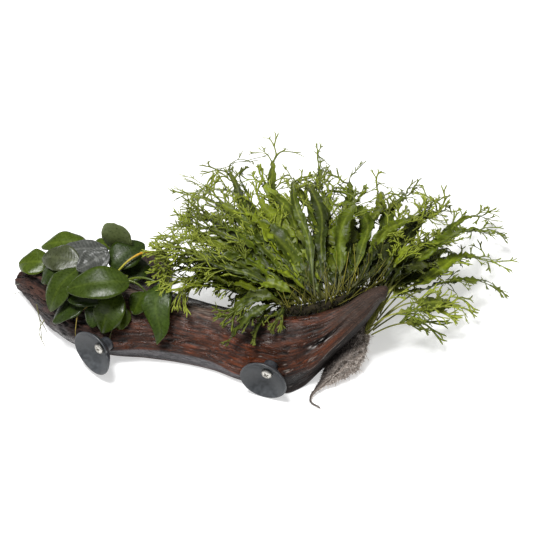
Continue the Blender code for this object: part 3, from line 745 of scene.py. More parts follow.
def plant_material(name, roughness, mottle_size, depth):
    """Living plant skin with a thin waxy or wet film: its own colours, slightly mottled, and a
    clear gloss. mottle_size is in millimetres."""
    material, tree, shader = new_material(name)
    tint, place = tint_and_place(tree)
    mottle = speckle(tree, place, mottle_size, 3.0)
    set_inputs(tree, shader, {
        "Base Color": shaded(tree, tint, spread(tree, mottle, 0.3, 0.7, 0.78, 1.22)),
        "Roughness": spread(tree, mottle, 0.3, 0.7, roughness - 0.08, roughness + 0.1),
        "Normal": bumps(tree, mottle, depth, 0.3),
        "IOR": 1.33,
    })
    return material


def bent_lines(start, way, bend, length, share):
    """Many lines at once: start + way x length x s + bend x s squared, at each share s."""
    return start[:, None] + way[:, None] * length[:, None, None] * share + bend[:, None] * share**2


def strand_parts(start, way, bend, length, thickness, colour, rows):
    """Many thin strands at once, each a four-sided stem along a bent line. Each tapers to a third
    and stays just above the ground."""
    share = np.linspace(0, 1, rows)[None, :, None]
    path = bent_lines(start, way, bend, length, share)
    path[..., 2] = np.maximum(path[..., 2], LOWEST_STRAND)
    ahead = unit(np.gradient(path, axis=1))
    level = unit(np.cross(ahead, (0.31, 0.2, 0.93)))
    up = np.cross(ahead, level)
    angle = circle(STRAND_SIDES)[None, None, :, None]
    radius = thickness[:, None, None, None] / 2 * (1 - 0.66 * share[..., None])
    grid = path[:, :, None] + radius * (level[:, :, None] * np.cos(angle) + up[:, :, None] * np.sin(angle))
    faces = tube_faces(rows, STRAND_SIDES, len(start))
    return grid.reshape(-1, 3), faces, np.repeat(colour, rows * STRAND_SIDES, axis=0)


def join(parts):
    """One part from several."""
    starts = np.cumsum([0] + [len(part[0]) for part in parts[:-1]])
    points = np.concatenate([part[0] for part in parts])
    faces = np.concatenate([part[1] + start for part, start in zip(parts, starts)])
    return points, faces, np.concatenate([part[2] for part in parts])


def root_mat_part():
    """A lumpy core along the route, and roots that leave its surface at a slant and hang down."""
    random = np.random.default_rng(61)
    shares = np.linspace(0, 1, ROOT_MAT_RINGS)
    path = smooth_line(ROOT_MAT_ROUTE, shares)
    radius = np.interp(shares, np.linspace(0, 1, len(ROOT_MAT_RADII)), ROOT_MAT_RADII)
    angle = circle(ROOT_MAT_SIDES)
    place = spots(shares[:, None] * 20, 5 * np.cos(angle), 5 * np.sin(angle))
    lumps = 0.88 + 0.20 * noise(place, 62) + 0.14 * noise(place * (2, 3, 3), 63) + 0.06 * noise(place * 7, 65)
    shade = 0.5 + 0.5 * noise(place * (0.6, 2.5, 2.5), 64)
    core, faces, _ = stem_part(path, radius[:, None] * lumps, ROOT_MAT_SIDES, (0, 0, 0))
    core[:, 2] = np.maximum(core[:, 2], 0.2)
    facing = unit(core.reshape(ROOT_MAT_RINGS, ROOT_MAT_SIDES, 3) - path[:, None])
    # The mat and its roots are darker on the sides that face the log, the back and up, and lighter on those
    # that face right, to the front and down: painted shade near the log, and partly the light colour of the
    # outer roots.
    outer = np.clip(0.35 + 0.55 * facing[..., 0] - 0.35 * facing[..., 1] - 0.25 * facing[..., 2], 0, 1)
    colour = mix("#2b2624", "#8d8279", np.clip(outer + 0.5 * shade - 0.25, 0, 1)).reshape(-1, 3)
    share = np.repeat(radius / radius.sum(), ROOT_MAT_SIDES) / ROOT_MAT_SIDES
    pick = random.choice(len(core), ROOT_COUNT, p=share)
    at = pick // ROOT_MAT_SIDES
    ahead = unit(np.gradient(path, axis=0))[at]
    out = unit(core[pick] - path[at])
    stray = random.normal(0, 1, (ROOT_COUNT, 3))
    onwards, outwards = (random.uniform(*ends, (ROOT_COUNT, 1)) for ends in ((0.0, 1.0), (0.3, 1.1)))
    way = unit(ahead * onwards + out * outwards + 0.6 * stray)
    bend = 0.6 * (random.normal(0, 1.8, (ROOT_COUNT, 3)) + (0, 0, -1.4))
    length = random.uniform(1.4, 4.2, ROOT_COUNT) * np.clip(radius[at] / 7, 0.45, 1)
    length = length * np.where(random.random(ROOT_COUNT) < 0.07, 2.2, 1)
    thickness = ROOT_THICKNESS * random.uniform(0.7, 1.3, ROOT_COUNT)
    outer = outer.ravel()[pick] * random.uniform(0.4, 1.5, ROOT_COUNT)
    tone = mix("#4a423d", "#ddd3ca", np.clip(outer, 0, 1))
    roots = strand_parts(core[pick] - out * 0.8, way, bend, length, thickness, tone, 3)
    return join([(core, faces, colour), roots])


ROOT_FELT = plant_material("root_felt", 0.85, 1.0, 0.8)
add_piece("fern_roots", root_mat_part(), ROOT_FELT, "root_felt", "fern_root_mat")


# The rhizomes
# The creeping stems that the leaves grow from. Their skin is green-brown and lumpy with the scars
# of old stalks. Short dark roots and bits of moss cover them and hold them to the wood.
FERN_RHIZOME_RADIUS = 4.2
FERN_RHIZOME_ROUTE = [
    (26, -46, 48), (44, -42, 49), (62, -32, 50), (76, -20, 53), (88, -6, 51), (99, -7, 40), (98, -29, 27),
]
ANUBIAS_RHIZOME_RADIUS = 4.5
ANUBIAS_RHIZOME_ROUTE = [(-158, -70, 42), (-138, -70, 48), (-116, -66, 51), (-99, -63, 50)]
RHIZOME_RINGS, RHIZOME_SIDES = 150, 24
FERN_HAIR_COUNT, ANUBIAS_HAIR_COUNT = 700, 233
HAIR_THICKNESS = 0.8
STUB_COUNT = 96
STUB_THICKNESS = 1.0


def rhizome_part(route, radius, seed):
    """A lumpy stem that tapers at both ends."""
    shares = np.linspace(0, 1, RHIZOME_RINGS)
    path = smooth_line(route, shares)
    taper = np.minimum(step_up(shares, -0.08, 0.12), 1 - 0.6 * step_up(shares, 0.85, 1.0))
    angle = circle(RHIZOME_SIDES)
    place = spots(shares[:, None] * 24, 2 * np.cos(angle), 2 * np.sin(angle))
    lumps = 1 + 0.16 * noise(place, seed) + 0.10 * noise(place * 2.3, seed + 1)
    # The skin's near-black brown is partly its own colour and partly painted shade, for the shade of the
    # fronds and leaves over it.
    colour = mix("#14100a", "#2c2513", 0.5 + 0.5 * noise(path / 5, seed + 2))
    colour = mix(colour, "#5b5634", step_up(path[:, 0], 92, 97))
    return stem_part(path, radius * taper[:, None] * lumps, RHIZOME_SIDES, colour)


def root_hair_part(route, radius, count, seed):
    """Roots that leave the rhizome's skin all round and bend down."""
    random = np.random.default_rng(seed)
    path = smooth_line(route, random.uniform(0, 0.62, count))
    out = unit(random.normal(0, 1, (count, 3)) + (0, -0.5, 0.4))
    way = unit(out + 0.7 * random.normal(0, 1, (count, 3)))
    bend = random.normal(0, 1.5, (count, 3)) + (0, 0, -1.6)
    thickness = HAIR_THICKNESS * random.uniform(0.5, 1.4, count)
    tone = mix("#0f0c08", "#3b3a16", random.uniform(0, 1, count) ** 2)
    length = random.uniform(2.5, 7.5, count)
    return strand_parts(path + out * (radius - 0.6), way, bend, length, thickness, tone, 4)


def stub_part():
    """The stalks of many small fronds: thin stems that fan out from the rhizome and lean back."""
    random = np.random.default_rng(47)
    grows_at = random.uniform(0.06, 0.70, STUB_COUNT)
    path = smooth_line(FERN_RHIZOME_ROUTE, grows_at)
    out = unit(random.normal(0, 0.7, (STUB_COUNT, 3)) + (0.1, -0.4, 0.0))
    way = unit(random.normal(0, 0.38, (STUB_COUNT, 3)) + (0.0, 0.5, 0.9))
    way[:, 0] += 1.6 * (grows_at - 0.42)
    bend = random.normal(0, 5.0, (STUB_COUNT, 3)) + (0, 4.0, -2.0)
    thickness = STUB_THICKNESS * random.uniform(0.6, 1.5, STUB_COUNT)
    tone = mix("#272b0c", "#857f31", random.uniform(0, 1, STUB_COUNT) ** 1.6)
    length = random.uniform(10, 44, STUB_COUNT)
    return strand_parts(path + out * FERN_RHIZOME_RADIUS, way, bend, length, thickness, tone, 5)


RHIZOME_SKIN = plant_material("rhizome_skin", 0.88, 1.5, 0.6)
fern_stem = rhizome_part(FERN_RHIZOME_ROUTE, FERN_RHIZOME_RADIUS, 41)
fern_hairs = root_hair_part(FERN_RHIZOME_ROUTE, FERN_RHIZOME_RADIUS, FERN_HAIR_COUNT, 42)
fern_stem = join([fern_stem, fern_hairs, stub_part()])
add_piece("fern_rhizome_stem", fern_stem, RHIZOME_SKIN, "rhizome_skin", "fern_rhizome")
anubias_stem = rhizome_part(ANUBIAS_RHIZOME_ROUTE, ANUBIAS_RHIZOME_RADIUS, 44)
anubias_hairs = root_hair_part(ANUBIAS_RHIZOME_ROUTE, ANUBIAS_RHIZOME_RADIUS, ANUBIAS_HAIR_COUNT, 43)
anubias_stem = join([anubias_stem, anubias_hairs])
add_piece("anubias_rhizome_stem", anubias_stem, RHIZOME_SKIN, "rhizome_skin", "anubias_rhizome")


# The loose roots
# Thin wiry roots of the anubias that have lost their hold and hang off the log's left end and its
# front. They are brown-green, and grey where they have dried.
LOOSE_ROOT_RINGS, LOOSE_ROOT_SIDES = 30, 6
# Each root: its route, its radius and its colour.
LOOSE_ROOTS = [
    ([(-176, -88, 22), (-173, -92, 14), (-171, -95, 7), (-165, -106, 2)], 0.45, "#5f5f38"),
    ([(-166, -96, 14), (-168, -101, 9), (-167, -105, 5), (-159, -112, 1.2)], 0.4, "#6c6b3a"),
    ([(-172, -93, 10), (-166, -97, 6), (-163, -99, 3)], 0.35, "#5f5f38"),
    ([(-203, -68, 18), (-208, -69.5, 16), (-209, -72, 12), (-205, -73, 10)], 0.3, "#86867a"),
    ([(-201, -74, 14), (-206, -76, 12), (-209, -75, 9)], 0.3, "#86867a"),
    ([(-122, -96, 47), (-127, -104, 44), (-126, -113, 36), (-126, -115, 29)], 0.45, "#8a7a3c"),
    ([(-98, -100, 36), (-99, -106, 28), (-98, -112, 18), (-101, -112, 11)], 0.4, "#55552f"),
]
loose = []
for route, radius, tone in LOOSE_ROOTS:
    line = smooth_line(route, np.linspace(0, 1, LOOSE_ROOT_RINGS))
    radii = np.linspace(radius, radius * 0.6, LOOSE_ROOT_RINGS)
    loose.append(stem_part(line, radii, LOOSE_ROOT_SIDES, linear(tone)))
LOOSE_ROOT_SKIN = plant_material("wiry_root", 0.6, 1.0, 0.4)
add_piece("anubias_loose_roots", join(loose), LOOSE_ROOT_SKIN, "rhizome_skin")


# The anubias leaves
# Thick oval leaves on short stalks, dark green and waxy, with a sunken midrib and side veins that
# sweep towards the tip. Some are dull grey-green, and the light grey of the silver ones is painted sheen: a
# painted reflection.

# Each leaf: where on the rhizome it grows, its base, its tip, its width, how far it rolls to the
# side in degrees, how high its midrib arches, and its kind.
ANUBIAS_LEAVES = [
    (0.00, (-178, -56, 40), (-206, -59, 33), 26, -14, 3, "bright"),
    (0.20, (-145, -61, 58), (-181, -60, 50), 25, -22, 4, "dull"),
    (0.10, (-158, -66, 50), (-174, -78, 40), 21, -5, 3, "dark"),
    (0.26, (-154, -29, 47), (-193, -40, 41), 23, -5, 4, "bright"),
    (0.50, (-129, -39, 56), (-170, -53, 53), 21, -8, 3, "silver"),
    (0.58, (-130, -28, 50), (-149, -31, 48), 16, 0, 3, "bright"),
    (0.64, (-121, -53, 71), (-137, -80, 69), 22, -28, -3, "silver"),
    (0.74, (-119, -34, 56), (-121, -37, 89), 27, 8, 2, "dull_dark"),
    (0.86, (-118, -58, 59), (-99, -29, 65), 28, 12, 4, "dark"),
    (0.96, (-111, -53, 49), (-91, -37, 48), 25, 12, 2, "dark"),
    (0.80, (-90, -79, 69), (-137, -100, 65), 31, -14, 6, "green"),
    (0.14, (-140, -72, 62), (-152, -106, 40), 27, 6, 7, "green"),
    (0.30, (-139, -98, 53), (-109, -87, 50), 21, 8, 3, "dark"),
    (0.46, (-125, -89, 47), (-148, -111, 33), 24, 4, 3, "dark"),
    (0.56, (-115, -89, 47), (-115, -106, 34), 17, 0, 3, "pleated"),
    (0.72, (-98, -82, 56), (-106, -106, 31), 27, -10, 7, "green"),
    (0.80, (-93, -84, 43), (-95, -97, 29), 14, -15, 3, "bright"),
    (0.90, (-80, -67, 50), (-85, -87, 42), 22, 5, 3, "green"),
    (1.00, (-69, -62, 59), (-60, -99, 27), 25, 10, 8, "curled"),
]
# Each kind of leaf: its blade's colour, and that of its margin and veins.
LEAF_COLOURS = {
    "bright": ("#37450a", "#56641a"),
    "green": ("#2a3807", "#435114"),
    "dark": ("#1f2c07", "#354415"),
    "dull": ("#353a24", "#50553a"),
    "dull_dark": ("#2a2f19", "#43482a"),
    # The silver kind's light grey is a painted reflection of the leaves' sheen.
    "silver": ("#3d3f3b", "#6f706b"),
    "pleated": ("#25340b", "#4b5a2c"),
    "curled": ("#2a3a09", "#45551a"),
}
VEIN_HEIGHTS = {"silver": 0.20, "pleated": 0.5}
# How a blade's width goes from base to tip: where it is widest, and how blunt it is.
BLADE_SHAPES = {"dull_dark": (1.05, 0.26), "curled": (0.62, 0.75)}
LEAF_THICKNESS = 1.0
LEAF_ROWS = 56
LEAF_COLUMNS = 13
SIDE_VEINS = 14
STALK_WIDTH = 2.4
STALK_RINGS, STALK_SIDES = 16, 10
# How far off the rhizome's skin a stalk starts, and how strongly its foot turns upwards.
SKIN_CLEARANCE = 1.4
STALK_LIFT = 0.5


def parabola(start, middle, end, share):
    """Places on the parabola that passes through start, middle (half way) and end."""
    share = np.asarray(share)[:, None]
    pull = middle * 2 - (start + end) / 2
    return start * (1 - share) ** 2 + pull * 2 * share * (1 - share) + end * share**2


def turn_about(vectors, axis, angle):
    """Vectors turned about unit axes by angles in radians."""
    angle = np.asarray(angle)[..., None]
    along = axis * np.sum(vectors * axis, axis=-1, keepdims=True)
    return vectors * np.cos(angle) + np.cross(axis, vectors) * np.sin(angle) + along * (1 - np.cos(angle))


def off_rhizome(route, radius, grows_at, outwards):
    """A point just off the rhizome's skin, on the side that looks outwards."""
    near = smooth_line(route, np.clip([grows_at - 0.01, grows_at, grows_at + 0.01], 0, 1))
    rhizome_way = unit(near[2] - near[0])
    outwards = outwards - rhizome_way * (outwards @ rhizome_way)
    return near[1] + unit(outwards) * (radius + SKIN_CLEARANCE)


def sheet_part(grid, thickness, colour, under_colour):
    """A closed leaf from a grid of points: the grid moved out by half its thickness along its
    normals, both ways, and joined round the rim."""
    rows, columns = grid.shape[:2]
    normal = unit(np.cross(np.gradient(grid, axis=0), np.gradient(grid, axis=1)))
    normal = normal * np.where(normal[rows // 2, columns // 2, 2] < 0, -1, 1)
    half = normal * (np.zeros((rows, columns)) + thickness)[..., None] / 2
    points = np.concatenate([(grid + half).reshape(-1, 3), (grid - half).reshape(-1, 3)])
    top = quads(rows, columns)
    number = np.arange(rows * columns).reshape(rows, columns)
    rim = np.concatenate([number[0, :-1], number[:-1, -1], number[-1, :0:-1], number[:0:-1, 0]])
    after = np.roll(rim, -1)
    below = rows * columns
    side = np.stack([rim, rim + below, after + below, after], -1)
    colours = np.concatenate([colour.reshape(-1, 3), under_colour.reshape(-1, 3)])
    return points, np.concatenate([top, top[:, ::-1] + below, side]), colours


def anubias_leaf_part(number, grows_at, base, tip, width, roll, arch, kind):
    """A leaf: its midrib is a parabola from base to tip. Across it the blade is first folded up
    from the midrib and then rounded down at the margin, rippled by its side veins, and waved
    along its margin. The stalk is a stem from the rhizome to the blade."""
    base, tip = np.array(base, float), np.array(tip, float)
    along = unit(tip - base)
    side = np.cross(along, (0, 0, 1))
    side = np.array((1.0, 0, 0)) if np.linalg.norm(side) < 0.3 else unit(side)
    side = turn_about(side, along, math.radians(roll))
    face = np.cross(side, along)
    outwards = unit(base - smooth_line(ANUBIAS_RHIZOME_ROUTE, [grows_at])[0]) + (0, 0, STALK_LIFT)
    root = off_rhizome(ANUBIAS_RHIZOME_ROUTE, ANUBIAS_RHIZOME_RADIUS, grows_at, outwards)
    shares = np.linspace(0, 1, LEAF_ROWS)
    midrib = parabola(base, (base + tip) / 2 + face * arch, tip, shares)
    widest, blunt = BLADE_SHAPES.get(kind, (0.88, 0.60))
    shape = np.sin(math.pi * shares**widest) ** blunt
    half = np.maximum(width / 2 * 1.04 * shape * (1 - 0.10 * shares), 0.25)
    across = np.linspace(-1, 1, LEAF_COLUMNS)
    away = np.abs(across)[None]
    share = shares[:, None]
    place = spots(share * 3, across[None] * 1.5, number * 7.3)
    vein = hump((share * SIDE_VEINS - 1.6 * away) % 1, 0.5, 0.13)
    lift = half[:, None] * (0.20 * away - 0.17 * away**2)
    if kind == "curled":
        midrib = midrib + side * (5.0 * np.sin(2 * math.pi * shares) * shares)[:, None]
    pleat = VEIN_HEIGHTS.get(kind, 0.13)
    lift = lift - pleat * vein * step_up(away, 0.05, 0.3) + 0.9 * noise(place, 71)
    if kind == "silver":
        lift = lift + 1.3 * noise(place * (2.1, 2.6, 1), 74)
    wave = np.sin(2 * math.pi * 1.7 * share + 1.9 * number + 0.8 * np.sign(across)[None])
    lift = lift + 0.75 * away**3 * wave * step_up(share, 0.05, 0.3)
    margin = 1 + 0.03 * noise(place * (3, 0, 1), 72)
    away_by = (across * half[:, None] * margin)[..., None]
    grid = midrib[:, None] + side * away_by + face * lift[..., None]
    rib = hump(across, 0, 0.07)[None]
    thickness = LEAF_THICKNESS * (0.35 + 0.65 * (1 - away**2)) + 0.7 * rib * (1 - share)
    blade, light = (linear(colour) for colour in LEAF_COLOURS[kind])
    mottle = step_up(noise(place * (2.2, 2.2, 1), 73), -0.7, 0.8)
    colour = mix(blade * 0.82, blade * 1.12, mottle)
    colour = mix(colour, light, (0.1 + pleat) * vein * step_up(away, 0.04, 0.2) + 0.45 * rib)
    colour = mix(colour, light, 0.25 * step_up(away, 0.93, 1.0))
    under = mix(colour, "#6d7a48", 0.45)
    stalk_shares = np.linspace(0, 1, STALK_RINGS)
    stalk = parabola(root, (root + base) / 2 + (0, 0, 1.5) - along * 2, base + along * 1.5, stalk_shares)
    stalk_colour = mix("#55601f", blade, stalk_shares)
    taper = STALK_WIDTH / 2 * (1 - 0.35 * stalk_shares)
    stalk_part = stem_part(stalk, taper, STALK_SIDES, stalk_colour)
    return join([sheet_part(grid, thickness, colour, under), stalk_part])


ANUBIAS_SKIN = plant_material("waxy_anubias_leaf", 0.32, 2.2, 0.45)
for number, leaf in enumerate(ANUBIAS_LEAVES, 1):
    add_piece(f"anubias_blade_{number:02d}", anubias_leaf_part(number, *leaf),
              ANUBIAS_SKIN, "anubias_leaf", f"anubias_leaf_{number:02d}")


# The anubias's old stalk
# A leaf stalk that has lost its blade and has faded to orange. It still stands on the rhizome and
# arches away backwards.
OLD_STALK_ROUTE = [(-110, -66, 60), (-102, -54, 68), (-94, -41, 68), (-86, -26, 57)]
OLD_STALK_RINGS = 40
RADII_AT, OLD_STALK_RADII = (0, 0.33, 0.67, 0.93, 1), (0.8, 0.9, 1.0, 1.4, 0.8)

shares = np.linspace(0, 1, OLD_STALK_RINGS)
old_stalk = stem_part(
    smooth_line(OLD_STALK_ROUTE, shares), np.interp(shares, RADII_AT, OLD_STALK_RADII),
    STALK_SIDES, mix("#8b8a2e", "#c98a2c", step_up(shares, 0.1, 0.8)),
)
OLD_STALK_SKIN = plant_material("faded_stalk", 0.5, 1.5, 0.3)
add_piece("anubias_faded_stalk", old_stalk, OLD_STALK_SKIN, "old_stalk", "anubias_old_stalk")


# The fern's fronds
# Narrow leathery blades on thin stalks, with crinkled margins. Each tip divides again and again
# into antler-like branchlets about two millimetres wide, which are lighter than the blade.

# Each long frond: where on the rhizome it grows, its heading in degrees, how far it reaches, its
# height half way and at the tip, and how far it swings to its left.
LOWER_FRONDS = [
    (0.05, 154, 162, 58, 16, -15), (0.11, 148, 190, 60, 11, -9), (0.17, 144, 207, 64, 15, -8),
    (0.23, 138, 220, 62, 9, -4), (0.29, 132, 248, 54, 7, 8), (0.35, 122, 238, 58, 17, 10),
    (0.42, 110, 224, 54, 14, 5), (0.48, 105, 192, 56, 22, 2), (0.55, 97, 188, 52, 14, -2),
    (0.61, 91, 180, 50, 16, -1), (0.67, 80, 168, 50, 23, 0), (0.84, 61, 177, 60, 8, 15),
    (0.89, 55, 158, 46, 8, 10), (0.93, 49, 144, 40, 5, 9), (0.965, 45, 108, 36, 6, 3),
    (1.00, 44, 72, 29, 7, 0),
]
UPPER_FRONDS = [
    (0.01, 232, 54, 64, 34, -8), (0.04, 188, 60, 58, 44, -12), (0.09, 192, 104, 66, 46, -22),
    (0.14, 188, 128, 76, 67, -20), (0.20, 127, 170, 74, 34, -2), (0.27, 119, 166, 84, 52, -2),
    (0.36, 113, 178, 74, 34, 2), (0.44, 103, 126, 82, 57, 0), (0.60, 77, 136, 68, 40, 8),
    (0.71, 74, 84, 62, 48, 0), (0.78, 72, 80, 68, 60, 4), (0.985, 36, 56, 52, 44, -3),
]
# The other fronds that stand out: the same six values, and then how wide the blade is, how long
# its forked end is and how light it is, as shares of the usual. With no forked end it is blunt.
PLACED_FRONDS = [
    (0.36, 131, 184, 53, 60, -3, 1.5, 0.85, 1.35), (0.52, 114, 167, 47, 60, 4, 0.7, 1.0, 1.2),
    (0.46, 123, 145, 53, 60, -2, 0.9, 0.0, 1.6), (0.58, 112, 84, 60, 75, 5, 2.3, 0.0, 0.75),
    (0.60, 109, 139, 44, 60, 3, 0.7, 0.7, 1.2), (0.68, 100, 123, 35, 60, 2, 0.5, 0.9, 0.5),
    (0.72, 92, 118, 40, 60, 7, 0.4, 0.6, 0.8), (0.66, 75, 129, 48, 60, 12, 1.1, 0.8, 1.25),
    (0.88, 69, 201, 44, 10, 15, 0.8, 0.9, 1.1), (0.99, 78, 69, 48, 44, 3, 0.9, 0.0, 1.5),
    (1.00, 48, 104, 48, 4, 0, 0.8, 1.0, 1.3), (0.97, 63, 75, 46, 11, 3, 0.8, 1.0, 1.4),
    (0.95, 67, 103, 46, 14, 3, 0.9, 0.6, 1.2), (0.96, 72, 80, 48, 17, 0, 0.8, 0.7, 1.1),
    (0.94, 78, 113, 60, 40, 0, 0.9, 0.6, 1.0), (0.92, 72, 124, 58, 29, 6, 0.8, 0.7, 1.0),
    (0.95, 67, 140, 54, 13, 6, 0.8, 0.8, 1.0), (0.98, 83, 92, 54, 37, 0, 0.7, 0.6, 0.9),
    (0.28, 135, 176, 68, 64, 5, 0.25, 0.5, 0.5),
    (0.24, 148, 161, 80, 60, 3, 1.1, 1.1, 1.0), (0.26, 145, 157, 80, 55, 1, 1.2, 1.1, 1.1),
    (0.22, 153, 155, 78, 62, 2, 1.2, 1.1, 1.1), (0.18, 159, 145, 76, 62, -1, 1.1, 1.2, 1.0),
    (0.16, 165, 143, 76, 58, -3, 1.1, 1.2, 1.1), (0.12, 171, 130, 74, 60, -8, 1.1, 1.1, 1.0),
    (0.10, 180, 110, 74, 66, -11, 0.9, 1.2, 0.9), (0.34, 139, 137, 74, 62, 5, 1.7, 0.8, 1.1),
    (0.30, 148, 131, 75, 64, 0, 1.5, 0.9, 1.0), (0.32, 149, 98, 74, 74, -1, 2.0, 0.3, 1.4),
    (0.08, 195, 138, 60, 72, -38, 0.6, 1.3, 1.0), (0.06, 201, 130, 54, 71, -41, 0.6, 1.3, 1.1),
    (0.04, 202, 111, 58, 66, -28, 0.7, 1.1, 0.95), (0.03, 203, 99, 56, 64, -26, 0.7, 1.0, 0.9),
    (0.02, 194, 78, 56, 60, -16, 0.6, 0.9, 1.0), (0.10, 187, 127, 80, 70, -12, 0.7, 1.2, 1.1),
    (0.09, 186, 116, 77, 75, -12, 0.8, 1.1, 1.0), (0.02, 180, 59, 56, 46, -10, 0.4, 0.8, 1.1),
    (0.01, 170, 39, 60, 50, -8, 0.5, 0.6, 0.9), (0.45, 165, 100, 70, 70, -4, 1.8, 0.4, 1.0),
    (0.15, 167, 60, 53, 71, -18, 1.2, 0.6, 0.8), (0.55, 144, 88, 60, 72, -1, 1.5, 0.5, 1.0),
    (0.64, 78, 70, 49, 75, 16, 1.2, 0.6, 1.0), (0.50, 123, 82, 60, 72, -1, 1.4, 0.5, 0.9),
    (0.70, 56, 60, 38, 70, 27, 1.1, 0.6, 1.0), (0.78, 54, 65, 29, 51, 27, 0.9, 0.8, 1.1),
    (0.20, 171, 55, 52, 54, -12, 1.0, 0.6, 0.7), (0.30, 170, 42, 58, 73, -8, 1.1, 0.5, 0.8),
]
FRONT_FRONDS = [
    (0.00, 233, 57, 61, 22, 6, 1.4, 0.6, 0.7), (0.03, 267, 29, 57, 42, 6, 1.0, 1.0, 0.6),
    (0.01, 259, 39, 55, 36, -3, 0.8, 0.4, 0.6),
]
BACK_COUNT = 19
# How far a frond's foot leans out of the rhizome.
SIDE_LEAN, MIDDLE_LEAN, TOP_LEAN = 1.4, 0.6, 0.15
# The fronds that grow past this place on the rhizome hang over the log's right end in full light.
SIDE_STARTS, SIDE_SHADE = 0.8, 1.25
FILLING_COUNT, SHORT_COUNT = 46, 54
FROND_WIDTH = 10.5
# The long fronds that aren't of the usual width, by their numbers.
BROAD_FRONDS = {24: 1.8, 18: 1.2, 26: 1.3, 12: 1.25, 17: 0.9}
FROND_THICKNESS = 0.7
STALK_LENGTH = 14
SIDE_STALK_LENGTH = 42
FEWEST_ROWS, MOST_ROWS = 22, 78
# Fronds that reach further than LONG_REACH have more columns of points across the blade.
LONG_REACH = 110
LONG_COLUMNS, YOUNG_COLUMNS = 9, 7
MOST_SWAY = 3.6
# The length of a ripple along the margin.
RIPPLE = 8.5
BRANCHLET_ROWS = 4
BRANCHLET_WIDTH = 2.3
# How wide a branchlet is as a share of the one that it grows from.
NARROWING = 0.90
# Midribs stay four millimetres under this height, and the tips hardly pass it.
HIGHEST = 89.0
# Tips hang down by this share of the square of their way from the blade's end, in millimetres.
DROOP = 0.005
LOWEST_MIDRIB, LOWEST_TIP = 2.5, 1.6
FROND_SEED = 900
FROND_GREENS = ["#445007", "#515d0b", "#364106", "#5a650e", "#3d4908", "#2d3706"]
TIP_GREEN = "#868f33"
STALK_OLIVE = "#54541a"
SIDE_STALK_GREEN = "#8d8f3e"


def filling_fronds():
    """The fronds between the long ones, which make the plant dense: they fan out from the
    rhizome, from a quarter to three quarters as long as their neighbours, at all heights."""
    random = np.random.default_rng(77)
    found = []
    for number in range(FILLING_COUNT):
        grows_at = 0.70 * (number + random.uniform(0.1, 0.9)) / FILLING_COUNT
        heading = np.interp(grows_at, (0, 0.3, 0.6, 1), (190, 145, 100, 46)) + random.normal(0, 13)
        far = np.interp(heading, (30, 55, 90, 120, 145, 165, 200), (95, 150, 160, 205, 195, 150, 105))
        share = random.uniform(0.26, 0.74)
        top = np.interp(grows_at, (0, 0.55, 0.8, 1), (74, 72, 60, 42))
        crown = random.uniform(0.62, 1.0) * top
        tip = crown * random.uniform(0.35, 1.15 - 0.6 * share)
        shade = random.uniform(0.6, 1.15)
        found.append((grows_at, heading, far * share, crown, tip, random.normal(0, 14), 1.28, 0.5, shade))
    return found


def short_fronds():
    """Young fronds that fan out close to the rhizome, behind the crest, painted dark by their low shade:
    painted shade among the dense fronds.
    """
    random = np.random.default_rng(78)
    found = []
    for number in range(SHORT_COUNT):
        grows_at = 0.06 + 0.74 * (number + random.uniform(0.1, 0.9)) / SHORT_COUNT
        heading = np.interp(grows_at, (0, 0.3, 0.6, 1), (150, 130, 95, 60)) + random.normal(0, 22)
        base = np.interp(grows_at, (0, 0.7), (52, 56))
        reach = random.uniform(26, 66)
        crown, tip = base + random.uniform(4, 14), base + random.uniform(-26, 4)
        # A shade of 0.25 to 0.6 paints these fronds dark: painted shade.
        swing, shade = random.normal(0, 5), random.uniform(0.25, 0.6)
        found.append((grows_at, heading, reach, crown, tip, swing, 1.3, 0.45, shade))
    return found


def branch_out(start, way, side, normal, length, width, levels, fan, random, found):
    """Adds a branchlet to found, and then the two or three that it forks into, opened as wide
    as fan, a share of the usual. A branchlet is its start, way, bend, side, length, width and
    how many levels are still to come."""
    bend = side * random.normal(0, 0.15) + normal * random.normal(0, 0.15)
    found.append((start, way, bend * length, side, length, width, levels))
    if levels == 0:
        return
    end = start + way * length + bend * length
    ahead = unit(way + 2 * bend)
    first = random.choice([-1, 1])
    turns = [first * random.uniform(4, 20), -first * random.uniform(14, 34)]
    if random.random() < 0.3:
        turns.append(first * random.uniform(30, 48))
    for turn in turns:
        onward = turn_about(ahead, normal, math.radians(turn * fan))
        onward = unit(onward + normal * random.normal(0, 0.14))
        new_side = unit(side - onward * (side @ onward))
        lift = np.cross(onward, new_side)
        lift = lift * (1 if lift @ normal > 0 else -1)
        grown = length * random.uniform(0.6, 1.0)
        branch_out(end, onward, new_side, lift, grown, width * NARROWING, levels - 1, fan, random, found)


